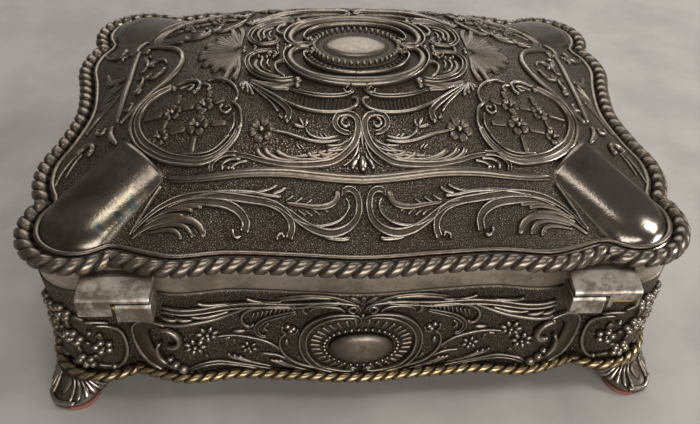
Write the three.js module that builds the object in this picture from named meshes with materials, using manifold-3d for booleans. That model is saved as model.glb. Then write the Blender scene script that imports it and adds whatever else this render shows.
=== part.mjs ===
// A lidded trinket casket: a cast lid hung on two rear hinges over a lined body on four corner feet.
// Millimetres, +Z up, origin on the table under the middle of the box, hinges on the -Y side.
import * as THREE from "three";
import { mergeVertices } from "three/addons/utils/BufferGeometryUtils.js";
import Module from "manifold-3d";

const wasm = await Module();
wasm.setup();

// Driving dimensions.
const GAP = 0.3;
const WALL = 1.6;

// One quarter of the plan outline, which runs along the middle of the lid's rope:
// the end of the box, a round corner ear between two notches, then the long side.
const END_SIDE = [[86.0, 0], [88.0, 14.9], [90.8, 26.4], [90.2, 35.7]];
const EAR = { x: 74.9, y: 51.8, radius: 15.1, from: -35.5, to: 127.5 };
const LONG_SIDE = [[50.9, 68.2], [35.9, 67.0], [19.6, 68.0], [0, 69.5]];
const STEPS = { end: 6, ear: 8, long: 10 };

const ROPE_Z = 54.5;
const ROPE_RADIUS = 2.3;
const FOOT_ROPE_Z = 9.6;
const FOOT_ROPE_RADIUS = 1.6;
const ROPE_SIDES = 8;

const PARTING_Z = 44.1;
const LID_BOTTOM_Z = PARTING_Z + GAP / 2;
const SKIRT_OFFSET = -ROPE_RADIUS - GAP;
const SHOULDER_Z = 55.2;
const SHOULDER_OFFSET = -3.6;

// The lid's crown falls away from its middle, faster along Y than along X.
const CROWN = { z: 79.8, fallX: 12.8, atX: 70, powerX: 3.2, fallY: 12.2, atY: 47.5, powerY: 2.6 };
const PLATE = { z: 80.7, rx: 12.5, ry: 7 };
const BREAK_LONG = [53.2, 44.4];
const BREAK_END = [67.5, 28];
const BREAK_MIDDLE_X = 70;
const BREAK_MIDDLE_Y = 47.5;
const BOSS_RISE = 2.2;

const BODY_TOP_Z = PARTING_Z - GAP / 2;
const BODY_BOTTOM_Z = 7.8;
const BODY_PROFILE = [[7.8, -1.3], [11.6, -1.3], [14.5, -0.7], [24, -1.3], [36, -1.5], [BODY_TOP_Z, -1.2]];
const PLATE_THICKNESS = 1.4;
const LINING_THICKNESS = 1.4;
const FLOOR_PAD_THICKNESS = 3;
const LINING_TOP_Z = 42.4;
const LID_PAD = { bottom: 50, top: 52.6, crown: 1 };

const FOOT = {
  sides: 14,
  sections: [
    { z: 7.5, outX: 4, outY: 5, radius: 9.4 },
    { z: 5.2, outX: 5.5, outY: 8, radius: 7.6 },
    { z: 3.2, outX: 7.5, outY: 11.5, radius: 6.8 },
    { z: 1.5, outX: 9, outY: 14.3, radius: 6.9 },
  ],
  padThickness: 1.2,
  padInset: 0.6,
};

const HINGE = {
  inner: 54.5,
  split: 64,
  outer: 73,
  sideGap: 0.4,
  axisY: -73,
  axisZ: 46,
  rearY: -75.3,
  pinRadius: 1,
  boreRadius: 1.35,
};

const silver = { color: 0x8c8880, roughness: 0.38, metalness: 1 };
const wornSilver = { color: 0x9a9389, roughness: 0.45, metalness: 1 };
const gilt = { color: 0xa08a5c, roughness: 0.4, metalness: 1 };
const brass = { color: 0xb08d4a, roughness: 0.4, metalness: 1 };
const velvet = { color: 0x5a1420, roughness: 0.95, metalness: 0 };
const felt = { color: 0x9a4a3a, roughness: 1, metalness: 0 };

const casket = new THREE.Group();

function add(name, geometry, finish) {
  const mesh = new THREE.Mesh(geometry, new THREE.MeshStandardMaterial(finish));
  mesh.name = name;
  casket.add(mesh);
  return mesh;
}

// The quarter outline from the middle of the end to the middle of the long side. Each point
// carries its zone and its place in that zone, 0 to 1, which the lid's relief uses.
function quarterOutline() {
  const turn = THREE.MathUtils.degToRad;
  const atAngle = (degrees) => [
    EAR.x + EAR.radius * Math.cos(turn(degrees)),
    EAR.y + EAR.radius * Math.sin(turn(degrees)),
  ];
  const mirrored = (side, axis) => side.slice(axis ? 1 : 0, axis ? undefined : -1).reverse().map(
    ([x, y]) => (axis ? [x, -y] : [-x, y]),
  );
  const toCurve = (pairs) => new THREE.SplineCurve(pairs.map(([x, y]) => new THREE.Vector2(x, y)));
  const endHalf = [...END_SIDE, atAngle(EAR.from)];
  const longHalf = [atAngle(EAR.to), ...LONG_SIDE];
  const endCurve = toCurve([...mirrored(endHalf, true), ...endHalf]);
  const longCurve = toCurve([...longHalf, ...mirrored(longHalf, false)]);
  const points = [];
  for (let i = 0; i < STEPS.end; i++) {
    const place = i / STEPS.end;
    points.push({ at: endCurve.getPoint(0.5 + place / 2), zone: "end", place });
  }
  for (let i = 0; i < STEPS.ear; i++) {
    const place = i / STEPS.ear;
    const [x, y] = atAngle(EAR.from + (EAR.to - EAR.from) * place);
    points.push({ at: new THREE.Vector2(x, y), zone: "ear", place });
  }
  for (let i = 0; i <= STEPS.long; i++) {
    const place = i / STEPS.long;
    points.push({ at: longCurve.getPoint(place / 2), zone: "long", place });
  }
  return points;
}

// The whole outline, anticlockwise: the quarter and its mirror images share their end points.
function fullOutline() {
  const quarter = quarterOutline();
  const flip = (points, sx, sy) => points.map((p) => ({
    ...p, at: new THREE.Vector2(p.at.x * sx, p.at.y * sy),
  }));
  const back = [...quarter].reverse();
  return [
    ...quarter.slice(0, -1),
    ...flip(back, -1, 1).slice(0, -1),
    ...flip(quarter, -1, -1).slice(0, -1),
    ...flip(back, 1, -1).slice(0, -1),
  ];
}

const outline = fullOutline();

// The outline moved outwards by a distance, or inwards by a negative one.
function offsetLoop(distance) {
  return outline.map((point, i) => {
    const before = outline[(i + outline.length - 1) % outline.length].at;
    const after = outline[(i + 1) % outline.length].at;
    const along = after.clone().sub(before).normalize();
    return new THREE.Vector2(point.at.x + along.y * distance, point.at.y - along.x * distance);
  });
}

function flatRing(distance, z) {
  return offsetLoop(distance).map((p) => new THREE.Vector3(p.x, p.y, z));
}

// A closed skin over a stack of rings with equal counts, listed so that the faces point out.
// Either the last ring joins the first, or the first and last rings are closed by centre fans.
function skin(rings, closedByFans) {
  const count = rings[0].length;
  const positions = rings.flat().flatMap((p) => [p.x, p.y, p.z]);
  const index = [];
  const last = closedByFans ? rings.length - 1 : rings.length;
  for (let r = 0; r < last; r++) {
    const low = r * count;
    const high = ((r + 1) % rings.length) * count;
    for (let i = 0; i < count; i++) {
      const j = (i + 1) % count;
      index.push(low + i, low + j, high + j, low + i, high + j, high + i);
    }
  }
  if (closedByFans) {
    for (const [ring, start, first] of [[rings[0], 0, true], [rings.at(-1), last * count, false]]) {
      const centre = ring.reduce((sum, p) => sum.add(p), new THREE.Vector3()).divideScalar(count);
      const hub = positions.length / 3;
      positions.push(centre.x, centre.y, centre.z);
      for (let i = 0; i < count; i++) {
        const j = (i + 1) % count;
        index.push(hub, start + (first ? j : i), start + (first ? i : j));
      }
    }
  }
  const geometry = new THREE.BufferGeometry();
  geometry.setAttribute("position", new THREE.Float32BufferAttribute(positions, 3));
  geometry.setIndex(index);
  geometry.computeVertexNormals();
  return geometry;
}

// Height of the lid's crown over a plan point.
function crownHeight(x, y) {
  const fallX = CROWN.fallX * (Math.abs(x) / CROWN.atX) ** CROWN.powerX;
  const fallY = CROWN.fallY * (Math.abs(y) / CROWN.atY) ** CROWN.powerY;
  return CROWN.z - fallX - fallY;
}

// The line where the crown breaks into the side slopes, point for point with the outline.
function breakLoop() {
  return outline.map(({ at, zone, place }) => {
    const mix = THREE.MathUtils.lerp;
    let x = mix(BREAK_END[0], BREAK_LONG[0], place);
    let y = mix(BREAK_END[1], BREAK_LONG[1], place);
    if (zone === "end") {
      x = mix(BREAK_MIDDLE_X, BREAK_END[0], place ** 2);
      y = BREAK_END[1] * place;
    } else if (zone === "long") {
      x = BREAK_LONG[0] * (1 - place);
      y = mix(BREAK_MIDDLE_Y, BREAK_LONG[1], (1 - place) ** 2);
    }
    return new THREE.Vector2(Math.sign(at.x || 1) * x, Math.sign(at.y || 1) * y);
  });
}

// Rings of the lid's top from the shoulder to the crown, sunk by a depth for the inside face.
function lidTopRings(shoulderOffset, sink, middleRadius) {
  const shoulder = offsetLoop(shoulderOffset);
  const brink = breakLoop();
  const rings = [];
  for (const rise of [0, 0.3, 0.65, 1]) {
    rings.push(outline.map(({ zone, place }, i) => {
      const flat = shoulder[i].clone().lerp(brink[i], rise);
      const slope = THREE.MathUtils.lerp(SHOULDER_Z, crownHeight(brink[i].x, brink[i].y), rise);
      const across = zone === "ear" ? 1 - Math.abs(2 * place - 1) ** 2.4 : 0;
      const swell = BOSS_RISE * across * Math.min(1, rise * 3);
      return new THREE.Vector3(flat.x, flat.y, slope + swell - sink);
    }));
  }
  for (const share of [0.94, 0.72, 0.45]) {
    rings.push(brink.map((p) => {
      const z = crownHeight(p.x * share, p.y * share);
      return new THREE.Vector3(p.x * share, p.y * share, z - sink);
    }));
  }
  rings.push(brink.map((p) => {
    const angle = Math.atan2(p.y / PLATE.ry, p.x / PLATE.rx);
    const x = middleRadius * PLATE.rx * Math.cos(angle);
    return new THREE.Vector3(x, middleRadius * PLATE.ry * Math.sin(angle), PLATE.z - sink);
  }));
  return rings;
}

// Cast lid, one wall: a plain skirt under the rope, a shoulder, sloping panels, corner bosses
// and a crown. Its outer and inner tops are closed by fans and meet at the rim below.
function lidShell() {
  const outerTop = lidTopRings(SHOULDER_OFFSET, 0, 1);
  const innerTop = lidTopRings(SHOULDER_OFFSET - WALL, WALL + 0.6, 0.8).reverse();
  const innerRim = flatRing(SKIRT_OFFSET - WALL, LID_BOTTOM_Z);
  const outerRim = flatRing(SKIRT_OFFSET, LID_BOTTOM_Z);
  return skin([...innerTop, innerRim, outerRim, ...outerTop], true);
}

// A round rope lying along the outline, as a plain bar.
function ropeRim(distance, z, radius) {
  const rings = [];
  for (let side = 0; side < ROPE_SIDES; side++) {
    const angle = (-2 * Math.PI * (side + 0.5)) / ROPE_SIDES;
    rings.push(flatRing(distance - radius * Math.cos(angle), z + radius * Math.sin(angle)));
  }
  return skin(rings, false);
}

// Cast body: one wall all round, open above and below.
function bodyShell() {
  const outside = BODY_PROFILE.map(([z, distance]) => flatRing(distance, z));
  const insideTop = flatRing(BODY_PROFILE.at(-1)[1] - WALL, BODY_TOP_Z);
  const insideBottom = flatRing(BODY_PROFILE[0][1] - WALL, BODY_BOTTOM_Z);
  return skin([...outside, insideTop, insideBottom], false);
}

// A flat plate or pad inside the outline.
function slab(distance, bottom, top) {
  return skin([flatRing(distance, bottom), flatRing(distance, top)], true);
}

// A thin upright band inside the outline.
function band(distance, thickness, bottom, top) {
  return skin([
    flatRing(distance, bottom),
    flatRing(distance, top),
    flatRing(distance - thickness, top),
    flatRing(distance - thickness, bottom),
  ], false);
}

// A pad whose under side is slightly crowned downwards.
function crownedPad(distance, bottom, top, crown) {
  return skin([
    flatRing(distance - 12, bottom - crown),
    flatRing(distance - 2, bottom),
    flatRing(distance, bottom + 1),
    flatRing(distance, top),
  ], true);
}

// A round section under one corner, pushed out past the middle of the corner's ear.
function cornerSection(sx, sy, { outX, outY }, radius, z) {
  const ring = [];
  for (let i = 0; i < FOOT.sides; i++) {
    const angle = (2 * Math.PI * i) / FOOT.sides;
    const x = sx * (EAR.x + outX) + radius * Math.cos(angle);
    const y = sy * (EAR.y + outY) + radius * Math.sin(angle);
    ring.push(new THREE.Vector3(x, y, z));
  }
  return ring;
}

// A flared corner foot.
function foot(sx, sy) {
  const sections = [...FOOT.sections].reverse();
  return skin(sections.map((s) => cornerSection(sx, sy, s, s.radius, s.z)), true);
}

// The thin pad glued under a foot.
function footPad(sx, sy) {
  const sole = FOOT.sections.at(-1);
  const radius = sole.radius - FOOT.padInset;
  return skin([
    cornerSection(sx, sy, sole, radius, 0),
    cornerSection(sx, sy, sole, radius, FOOT.padThickness),
  ], true);
}

// A closed geometry as a solid, for cutting.
function solidOf(geometry) {
  const bare = geometry.clone();
  bare.deleteAttribute("normal");
  bare.deleteAttribute("uv");
  const merged = mergeVertices(bare, 1e-4);
  return new wasm.Manifold(new wasm.Mesh({
    numProp: 3,
    vertProperties: merged.attributes.position.array,
    triVerts: new Uint32Array(merged.index.array),
  }));
}

function geometryOf(solid) {
  const mesh = solid.getMesh();
  const geometry = new THREE.BufferGeometry();
  geometry.setAttribute("position", new THREE.BufferAttribute(mesh.vertProperties, 3));
  geometry.setIndex(new THREE.BufferAttribute(mesh.triVerts, 1));
  geometry.computeVertexNormals();
  return geometry;
}

// A bar along X with a section drawn in Y and Z.
function barAlongX(section, from, to) {
  const shape = new THREE.Shape(section.map(([y, z]) => new THREE.Vector2(y, z)));
  const bar = new THREE.ExtrudeGeometry(shape, { depth: to - from, bevelEnabled: false });
  const toBox = new THREE.Matrix4().makeBasis(
    new THREE.Vector3(0, 1, 0),
    new THREE.Vector3(0, 0, 1),
    new THREE.Vector3(1, 0, 0),
  );
  return bar.applyMatrix4(toBox).translate(from, 0, 0);
}

function roundBar(radius, from, to) {
  const rod = new THREE.CylinderGeometry(radius, radius, to - from, 16);
  return rod.rotateZ(Math.PI / 2).translate((from + to) / 2, HINGE.axisY, HINGE.axisZ);
}

// Knuckle fixed to the lid's skirt, the outer half of a hinge. The right one is cut away in
// front, so that its pin shows.
const LID_KNUCKLE = [[-64.6, 44.9], [-64.6, 51.6], [-68, 51.8], [-74.8, 51], [HINGE.rearY, 50.4], [HINGE.rearY, 44.9]];
const WINDOW = { z: [44.4, 47.6], from: 65.6, to: 72.2 };

// Knuckle fixed to the top of the body's wall, the inner half of a hinge.
const BODY_KNUCKLE = [[-67.3, 42.6], [-67.3, 48.2], [-69, 48.6], [-74.8, 48.6], [HINGE.rearY, 47.8], [HINGE.rearY, 42.6]];

function knuckle(section, side, from, to) {
  const [low, high] = side > 0 ? [from, to] : [-to, -from];
  const block = solidOf(barAlongX(section, low, high));
  return block.subtract(solidOf(roundBar(HINGE.boreRadius, low - 1, high + 1)));
}

function lidKnuckle(side) {
  const block = knuckle(LID_KNUCKLE, side, HINGE.split + HINGE.sideGap, HINGE.outer);
  if (side < 0) return geometryOf(block);
  const [low, high] = WINDOW.z;
  const rear = HINGE.rearY;
  const cut = barAlongX([[rear - 1, low], [HINGE.axisY, low], [HINGE.axisY, high], [rear - 1, high]],
    WINDOW.from, WINDOW.to);
  return geometryOf(block.subtract(solidOf(cut)));
}

function bodyKnuckle(side) {
  return geometryOf(knuckle(BODY_KNUCKLE, side, HINGE.inner, HINGE.split - HINGE.sideGap));
}

function hingePin(side) {
  const ends = [HINGE.inner + 0.6, HINGE.outer - 0.6].map((x) => x * side).sort((a, b) => a - b);
  return roundBar(HINGE.pinRadius, ends[0], ends[1]);
}

// Lid.
add("lid_shell", lidShell(), silver);
add("lid_rope_rim", ropeRim(0, ROPE_Z, ROPE_RADIUS), silver);
const lidPadOffset = SHOULDER_OFFSET - WALL - GAP - 0.3;
add("lid_lining", crownedPad(lidPadOffset, LID_PAD.bottom, LID_PAD.top, LID_PAD.crown), velvet);

// Body.
add("body_shell", bodyShell(), silver);
const footRopeOffset = BODY_PROFILE[0][1] + GAP + FOOT_ROPE_RADIUS;
add("body_rope_rim", ropeRim(footRopeOffset, FOOT_ROPE_Z, FOOT_ROPE_RADIUS), gilt);
const insideOffset = BODY_PROFILE[4][1] - WALL - GAP;
const plateTop = BODY_BOTTOM_Z + PLATE_THICKNESS;
add("bottom_plate", slab(insideOffset, BODY_BOTTOM_Z, plateTop), wornSilver);
add("wall_lining", band(insideOffset, LINING_THICKNESS, plateTop + GAP, LINING_TOP_Z), velvet);
const floorPadOffset = insideOffset - LINING_THICKNESS - GAP;
add("floor_lining", slab(floorPadOffset, plateTop + GAP, plateTop + GAP + FLOOR_PAD_THICKNESS), velvet);

// Feet, and the pads under them.
for (const [side, sx] of [["left", -1], ["right", 1]]) {
  for (const [end, sy] of [["front", 1], ["rear", -1]]) {
    add(`foot_${end}_${side}`, foot(sx, sy), silver);
    add(`foot_pad_${end}_${side}`, footPad(sx, sy), felt);
  }
}

// Hinges.
for (const [side, sx] of [["left", -1], ["right", 1]]) {
  add(`hinge_lid_knuckle_${side}`, lidKnuckle(sx), wornSilver);
  add(`hinge_body_knuckle_${side}`, bodyKnuckle(sx), wornSilver);
  add(`hinge_pin_${side}`, hingePin(sx), brass);
}

export default casket;
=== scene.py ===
import math

import bmesh
import bpy
from mathutils import Matrix, Vector, noise
from mathutils.bvhtree import BVHTree


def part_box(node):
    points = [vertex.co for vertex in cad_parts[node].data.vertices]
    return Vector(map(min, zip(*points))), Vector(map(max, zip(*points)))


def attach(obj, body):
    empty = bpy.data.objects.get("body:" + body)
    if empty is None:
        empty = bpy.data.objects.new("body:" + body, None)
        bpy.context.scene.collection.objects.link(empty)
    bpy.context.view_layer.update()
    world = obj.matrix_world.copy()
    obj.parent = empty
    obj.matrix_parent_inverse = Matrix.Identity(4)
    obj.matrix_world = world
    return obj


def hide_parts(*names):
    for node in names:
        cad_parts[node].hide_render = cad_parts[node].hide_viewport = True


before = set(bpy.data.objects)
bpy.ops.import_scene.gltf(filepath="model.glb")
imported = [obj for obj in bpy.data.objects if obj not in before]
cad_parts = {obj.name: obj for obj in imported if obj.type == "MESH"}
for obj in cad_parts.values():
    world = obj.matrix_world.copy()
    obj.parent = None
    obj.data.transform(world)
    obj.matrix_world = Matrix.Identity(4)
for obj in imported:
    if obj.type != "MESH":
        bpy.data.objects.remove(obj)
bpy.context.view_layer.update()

MM = 0.001

# ---------------------------------------------------------------------------------------------
# Lid. One casting in a zinc alloy with a thin silver plate: a plain filed skirt, a shoulder
# inside the rope, four sloping panels, a smooth half-barrel boss in each corner and a
# pillow-shaped crown.

# Its outline, which every other edge, wall and lining follows too, is the middle of the rope:
# two long sides and two ends that swell and dip, and a round ear at each corner between two
# sharp notches. These and all sizes below are in millimetres, heights from the table.
EAR_X, EAR_Y, EAR_RADIUS = 74.9, 51.8, 15.1
EAR_FROM, EAR_TO = math.radians(-35.5), math.radians(127.5)
END_SIDE = [(86.0, 0), (88.0, 14.9), (90.8, 26.4), (90.2, 35.7)]
LONG_SIDE = [(50.9, 68.2), (35.9, 67.0), (19.6, 68.0), (0, 69.5)]


def through(points, place):
    """A smooth curve through points, at a place from 0 to 1."""
    last = len(points) - 1
    span = min(int(place * last), last - 1)
    part = place * last - span
    before = points[max(span - 1, 0)]
    after = points[min(span + 2, last)]
    found = []
    for a, b, c, d in zip(before, points[span], points[span + 1], after):
        leave, arrive = (c - a) / 2, (d - b) / 2
        found.append(((2 * b - 2 * c + leave + arrive) * part + 3 * (c - b) - 2 * leave - arrive)
                     * part * part + leave * part + b)
    return found


def on_ear(angle):
    return EAR_X + EAR_RADIUS * math.cos(angle), EAR_Y + EAR_RADIUS * math.sin(angle)


def quarter_plan(end_steps, ear_steps, long_steps):
    """One quarter of the outline as (x, y, zone, place in the zone)."""
    end = END_SIDE + [on_ear(EAR_FROM)]
    end = [(x, -y) for x, y in reversed(end[1:])] + end
    side = [on_ear(EAR_TO)] + LONG_SIDE
    side = side + [(-x, y) for x, y in reversed(side[:-1])]
    stations = []
    for step in range(end_steps):
        place = step / end_steps
        stations.append((*through(end, (1 + place) / 2), "end", place))
    for step in range(ear_steps):
        place = step / ear_steps
        stations.append((*on_ear(EAR_FROM + (EAR_TO - EAR_FROM) * place), "ear", place))
    for step in range(long_steps + 1):
        place = step / long_steps
        stations.append((*through(side, place / 2), "long", place))
    return stations


def full_plan(end_steps, ear_steps, long_steps):
    """The whole outline, anticlockwise, by mirroring the quarter."""
    quarter = quarter_plan(end_steps, ear_steps, long_steps)

    def flipped(stations, sx, sy):
        return [(x * sx, y * sy, zone, place) for x, y, zone, place in stations][:-1]

    back = list(reversed(quarter))
    return (flipped(quarter, 1, 1) + flipped(back, -1, 1)
            + flipped(quarter, -1, -1) + flipped(back, 1, -1))


def offset_plan(stations, distance):
    """The outline moved outwards by a distance in millimetres."""
    moved = []
    count = len(stations)
    for index, (x, y, _, _) in enumerate(stations):
        before, after = stations[index - 1], stations[(index + 1) % count]
        along = Vector((after[0] - before[0], after[1] - before[1])).normalized()
        moved.append((x + along.y * distance, y - along.x * distance))
    return moved


PLAN = full_plan(24, 36, 40)


def ring_skin(bm, rings, loop):
    """Skins a stack of rings by extruding one circle of edges from each place to the next.
    A looped stack joins its last ring to its first; any other is closed by two poles."""
    count = len(rings[0])
    station = bm.verts.layers.int.new("station")
    made = bmesh.ops.create_circle(bm, segments=count, radius=1)["verts"]
    for index, vert in enumerate(made):
        vert[station] = index
        vert.co = Vector(rings[0][index]) * MM
    first = list({edge for vert in made for edge in vert.link_edges})
    edges = first
    for ring in rings[1:]:
        grown = bmesh.ops.extrude_edge_only(bm, edges=edges)["geom"]
        edges = [part for part in grown if isinstance(part, bmesh.types.BMEdge)]
        for part in grown:
            if isinstance(part, bmesh.types.BMVert):
                part.co = Vector(ring[part[station]]) * MM
    if loop:
        bmesh.ops.bridge_loops(bm, edges=first + edges)
    else:
        for rim in (first, edges):
            poles = bmesh.ops.extrude_edge_only(bm, edges=rim)["geom"]
            hub = [part for part in poles if isinstance(part, bmesh.types.BMVert)]
            middle = sum((vert.co for vert in hub), Vector()) / len(hub)
            bmesh.ops.pointmerge(bm, verts=hub, merge_co=middle)
    bmesh.ops.recalc_face_normals(bm, faces=bm.faces)


def flat_ring(distance, z):
    return [(x, y, z) for x, y in offset_plan(PLAN, distance)]


def finish_piece(name, bm, material, body, node, smooth=True):
    """Turns a bmesh into a piece that rides on a body and stands for one of its nodes."""
    mesh = bpy.data.meshes.new(name)
    bm.to_mesh(mesh)
    bm.free()
    piece = bpy.data.objects.new(name, mesh)
    bpy.context.scene.collection.objects.link(piece)
    mesh.materials.append(material)
    for face in mesh.polygons:
        face.use_smooth = smooth
    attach(piece, body)
    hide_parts(node)
    return piece


WALL, CAVITY_SINK = 1.6, 2.2
SKIRT_Z, SKIRT_TOP_Z, SKIRT_OFFSET = 44.25, 54.6, -1.6
SHOULDER_Z, SHOULDER_OFFSET = 55.2, -3.6
CROWN_Z, CROWN_DROP_END, CROWN_DROP_LONG = 79.8, 12.8, 12.2
BRINK_LONG, BRINK_END = (53.2, 44.4), (67.5, 28.0)
BRINK_X, BRINK_Y = 70.0, 47.5
BOSS_RISE = 3.0
PLAIN_MIDDLE_X, PLAIN_MIDDLE_Y = 34, 21
SMOOTH_RUB = 0.62


def crown_height(x, y):
    """The pillow of the crown: nearly flat in the middle, falling faster towards the brink."""
    return (CROWN_Z - CROWN_DROP_END * (abs(x) / BRINK_X) ** 3.2
            - CROWN_DROP_LONG * (abs(y) / BRINK_Y) ** 2.6)


def mix(a, b, part):
    """A value between two others, at a part of the way from 0 to 1."""
    return a + (b - a) * part


def brink(station):
    """Where the crown breaks into the slopes, beyond one station of the outline."""
    x, y, zone, place = station
    at_x, at_y = mix(BRINK_END[0], BRINK_LONG[0], place), mix(BRINK_END[1], BRINK_LONG[1], place)
    if zone == "end":
        at_x, at_y = mix(BRINK_X, BRINK_END[0], place ** 2), BRINK_END[1] * place
    elif zone == "long":
        at_x, at_y = BRINK_LONG[0] * (1 - place), mix(BRINK_Y, BRINK_LONG[1], (1 - place) ** 2)
    return math.copysign(at_x, x), math.copysign(at_y, y)


def boss_swell(station, rise):
    """How far a corner boss stands above the slope, 0 to 1: a barrel across, with a round toe by
    the shoulder, a little lower where it meets the crown."""
    if station[2] != "ear":
        return 0.0
    across = max(0.0, 1 - (1.06 * abs(2 * station[3] - 1)) ** 2.4) ** 0.6
    toe = 1 - (1 - max(0.0, min(1, (rise - 0.05) / 0.28))) ** 2
    return across * math.sqrt(toe) * mix(1, 0.75, rise)


def lid_ring(rise, shoulder_offset=SHOULDER_OFFSET, sink=0.0):
    """A ring of the slopes, from the shoulder at 0 to the brink at 1."""
    shoulder = offset_plan(PLAN, shoulder_offset)
    ring = []
    for station, (x, y) in zip(PLAN, shoulder):
        to_x, to_y = brink(station)
        z = mix(SHOULDER_Z, crown_height(to_x, to_y), rise)
        ring.append((mix(x, to_x, rise), mix(y, to_y, rise),
                     z + BOSS_RISE * boss_swell(station, rise) - sink))
    return ring


def crown_ring(share, sink=0.0):
    """A ring of the crown, from its middle at 0 to the brink at 1."""
    ring = []
    for station in PLAN:
        x, y = (value * share for value in brink(station))
        ring.append((x, y, crown_height(x, y) - sink))
    return ring


# The castings are blackened all over and rubbed back, so the hollows stay dark and dull while
# everything that stands proud is bright.
def new_group(name, inputs, outputs):
    group = bpy.data.node_groups.new(name, "ShaderNodeTree")
    for label, kind, value in inputs:
        socket = group.interface.new_socket(label, in_out="INPUT", socket_type=kind)
        socket.default_value = value
    for label, kind in outputs:
        group.interface.new_socket(label, in_out="OUTPUT", socket_type=kind)
    return group, group.nodes.new("NodeGroupInput"), group.nodes.new("NodeGroupOutput")


def give(tree, socket, value):
    """Gives an input a constant, or another node's output."""
    if isinstance(value, bpy.types.NodeSocket):
        tree.links.new(value, socket)
    else:
        socket.default_value = value


def mix_color(tree, factor, a, b, blend="MIX"):
    node = tree.nodes.new("ShaderNodeMix")
    node.data_type = "RGBA"
    node.blend_type = blend
    first_color, second_color, color_out = 6, 7, 2
    give(tree, node.inputs[0], factor)
    give(tree, node.inputs[first_color], a)
    give(tree, node.inputs[second_color], b)
    return node.outputs[color_out]


def noise_node(tree, vector, scale, detail=4, roughness=0.55):
    node = tree.nodes.new("ShaderNodeTexNoise")
    node.inputs["Scale"].default_value = scale
    node.inputs["Detail"].default_value = detail
    node.inputs["Roughness"].default_value = roughness
    tree.links.new(vector, node.inputs["Vector"])
    return node.outputs["Fac"]


def ramp_node(tree, value, low, high, to_low=0.0, to_high=1.0):
    node = tree.nodes.new("ShaderNodeMapRange")
    node.interpolation_type = "SMOOTHSTEP"
    for label, number in (("From Min", low), ("From Max", high),
                          ("To Min", to_low), ("To Max", to_high)):
        node.inputs[label].default_value = number
    tree.links.new(value, node.inputs["Value"])
    return node.outputs["Result"]


def math_node(tree, operation, a, b):
    node = tree.nodes.new("ShaderNodeMath")
    node.operation = operation
    give(tree, node.inputs[0], a)
    give(tree, node.inputs[1], b)
    return node.outputs[0]


def patina_group():
    """Rubbed silver over black: bright where Height is 1, dark where it is 0, with stains."""
    group, given, result = new_group(
        "rubbed_patina",
        [("Vector", "NodeSocketVector", (0, 0, 0)), ("Height", "NodeSocketFloat", 0.5),
         ("Hollow", "NodeSocketColor", (0.050, 0.041, 0.032, 1)),
         ("Rubbed", "NodeSocketColor", (0.20, 0.17, 0.137, 1)),
         ("Crest", "NodeSocketColor", (0.58, 0.55, 0.505, 1))],
        [("Color", "NodeSocketColor"), ("Roughness", "NodeSocketFloat")],
    )
    vector = given.outputs["Vector"]
    broad = noise_node(group, vector, 55, 3)
    fine = noise_node(group, vector, 420, 5, 0.65)
    wander = math_node(group, "MULTIPLY", math_node(group, "SUBTRACT", fine, 0.5), 0.55)
    drift = math_node(group, "MULTIPLY", math_node(group, "SUBTRACT", broad, 0.5), 0.35)
    unevenness = math_node(group, "ADD", wander, drift)
    height = math_node(group, "ADD", given.outputs["Height"], unevenness)
    rubbed = ramp_node(group, height, 0.05, 0.95)
    color = mix_color(group, rubbed, given.outputs["Hollow"], given.outputs["Rubbed"])
    crest = ramp_node(group, height, 0.72, 1.25)
    color = mix_color(group, crest, color, given.outputs["Crest"])
    warm = mix_color(group, ramp_node(group, broad, 0.5, 0.75, 0.0, 0.6), color,
                     (0.86, 0.72, 0.6, 1), "MULTIPLY")
    group.links.new(warm, result.inputs["Color"])
    dull = ramp_node(group, rubbed, 0.0, 1.0, 0.52, 0.22)
    rough = math_node(group, "ADD", dull, math_node(group, "MULTIPLY", fine, 0.12))
    group.links.new(rough, result.inputs["Roughness"])
    return group


def stipple_group():
    """Matting punched close together over the ground: Height of the grains, 0 to 1."""
    group, given, result = new_group(
        "punched_ground",
        [("Vector", "NodeSocketVector", (0, 0, 0)), ("Grains", "NodeSocketFloat", 1600.0)],
        [("Height", "NodeSocketFloat")],
    )
    cells = group.nodes.new("ShaderNodeTexVoronoi")
    cells.feature = "DISTANCE_TO_EDGE"
    group.links.new(given.outputs["Vector"], cells.inputs["Vector"])
    group.links.new(given.outputs["Grains"], cells.inputs["Scale"])
    grain = ramp_node(group, cells.outputs["Distance"], 0.03, 0.26)
    group.links.new(grain, result.inputs["Height"])
    return group


PATINA = patina_group()
STIPPLE = stipple_group()


def new_material(name):
    material = bpy.data.materials.new(name)
    material.use_nodes = True
    tree = material.node_tree
    shader = tree.nodes["Principled BSDF"]
    coords = tree.nodes.new("ShaderNodeTexCoord").outputs["Object"]
    return material, tree, shader, coords


def attribute_node(tree, name):
    node = tree.nodes.new("ShaderNodeAttribute")
    node.attribute_name = name
    return node.outputs["Fac"]


def place_group(tree, group, **values):
    node = tree.nodes.new("ShaderNodeGroup")
    node.node_tree = group
    for label, value in values.items():
        give(tree, node.inputs[label], value)
    return node


def bump_node(tree, height, distance, after=None):
    node = tree.nodes.new("ShaderNodeBump")
    node.inputs["Distance"].default_value = distance
    node.inputs["Strength"].default_value = 1.0
    tree.links.new(height, node.inputs["Height"])
    if after is not None:
        tree.links.new(after, node.inputs["Normal"])
    return node.outputs["Normal"]


def link_patina(tree, shader, coords, height, **colors):
    """Gives a metal the rubbed patina's colour and roughness."""
    patina = place_group(tree, PATINA, Vector=coords, Height=height, **colors)
    tree.links.new(patina.outputs["Color"], shader.inputs["Base Color"])
    tree.links.new(patina.outputs["Roughness"], shader.inputs["Roughness"])
    shader.inputs["Metallic"].default_value = 1.0


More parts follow.
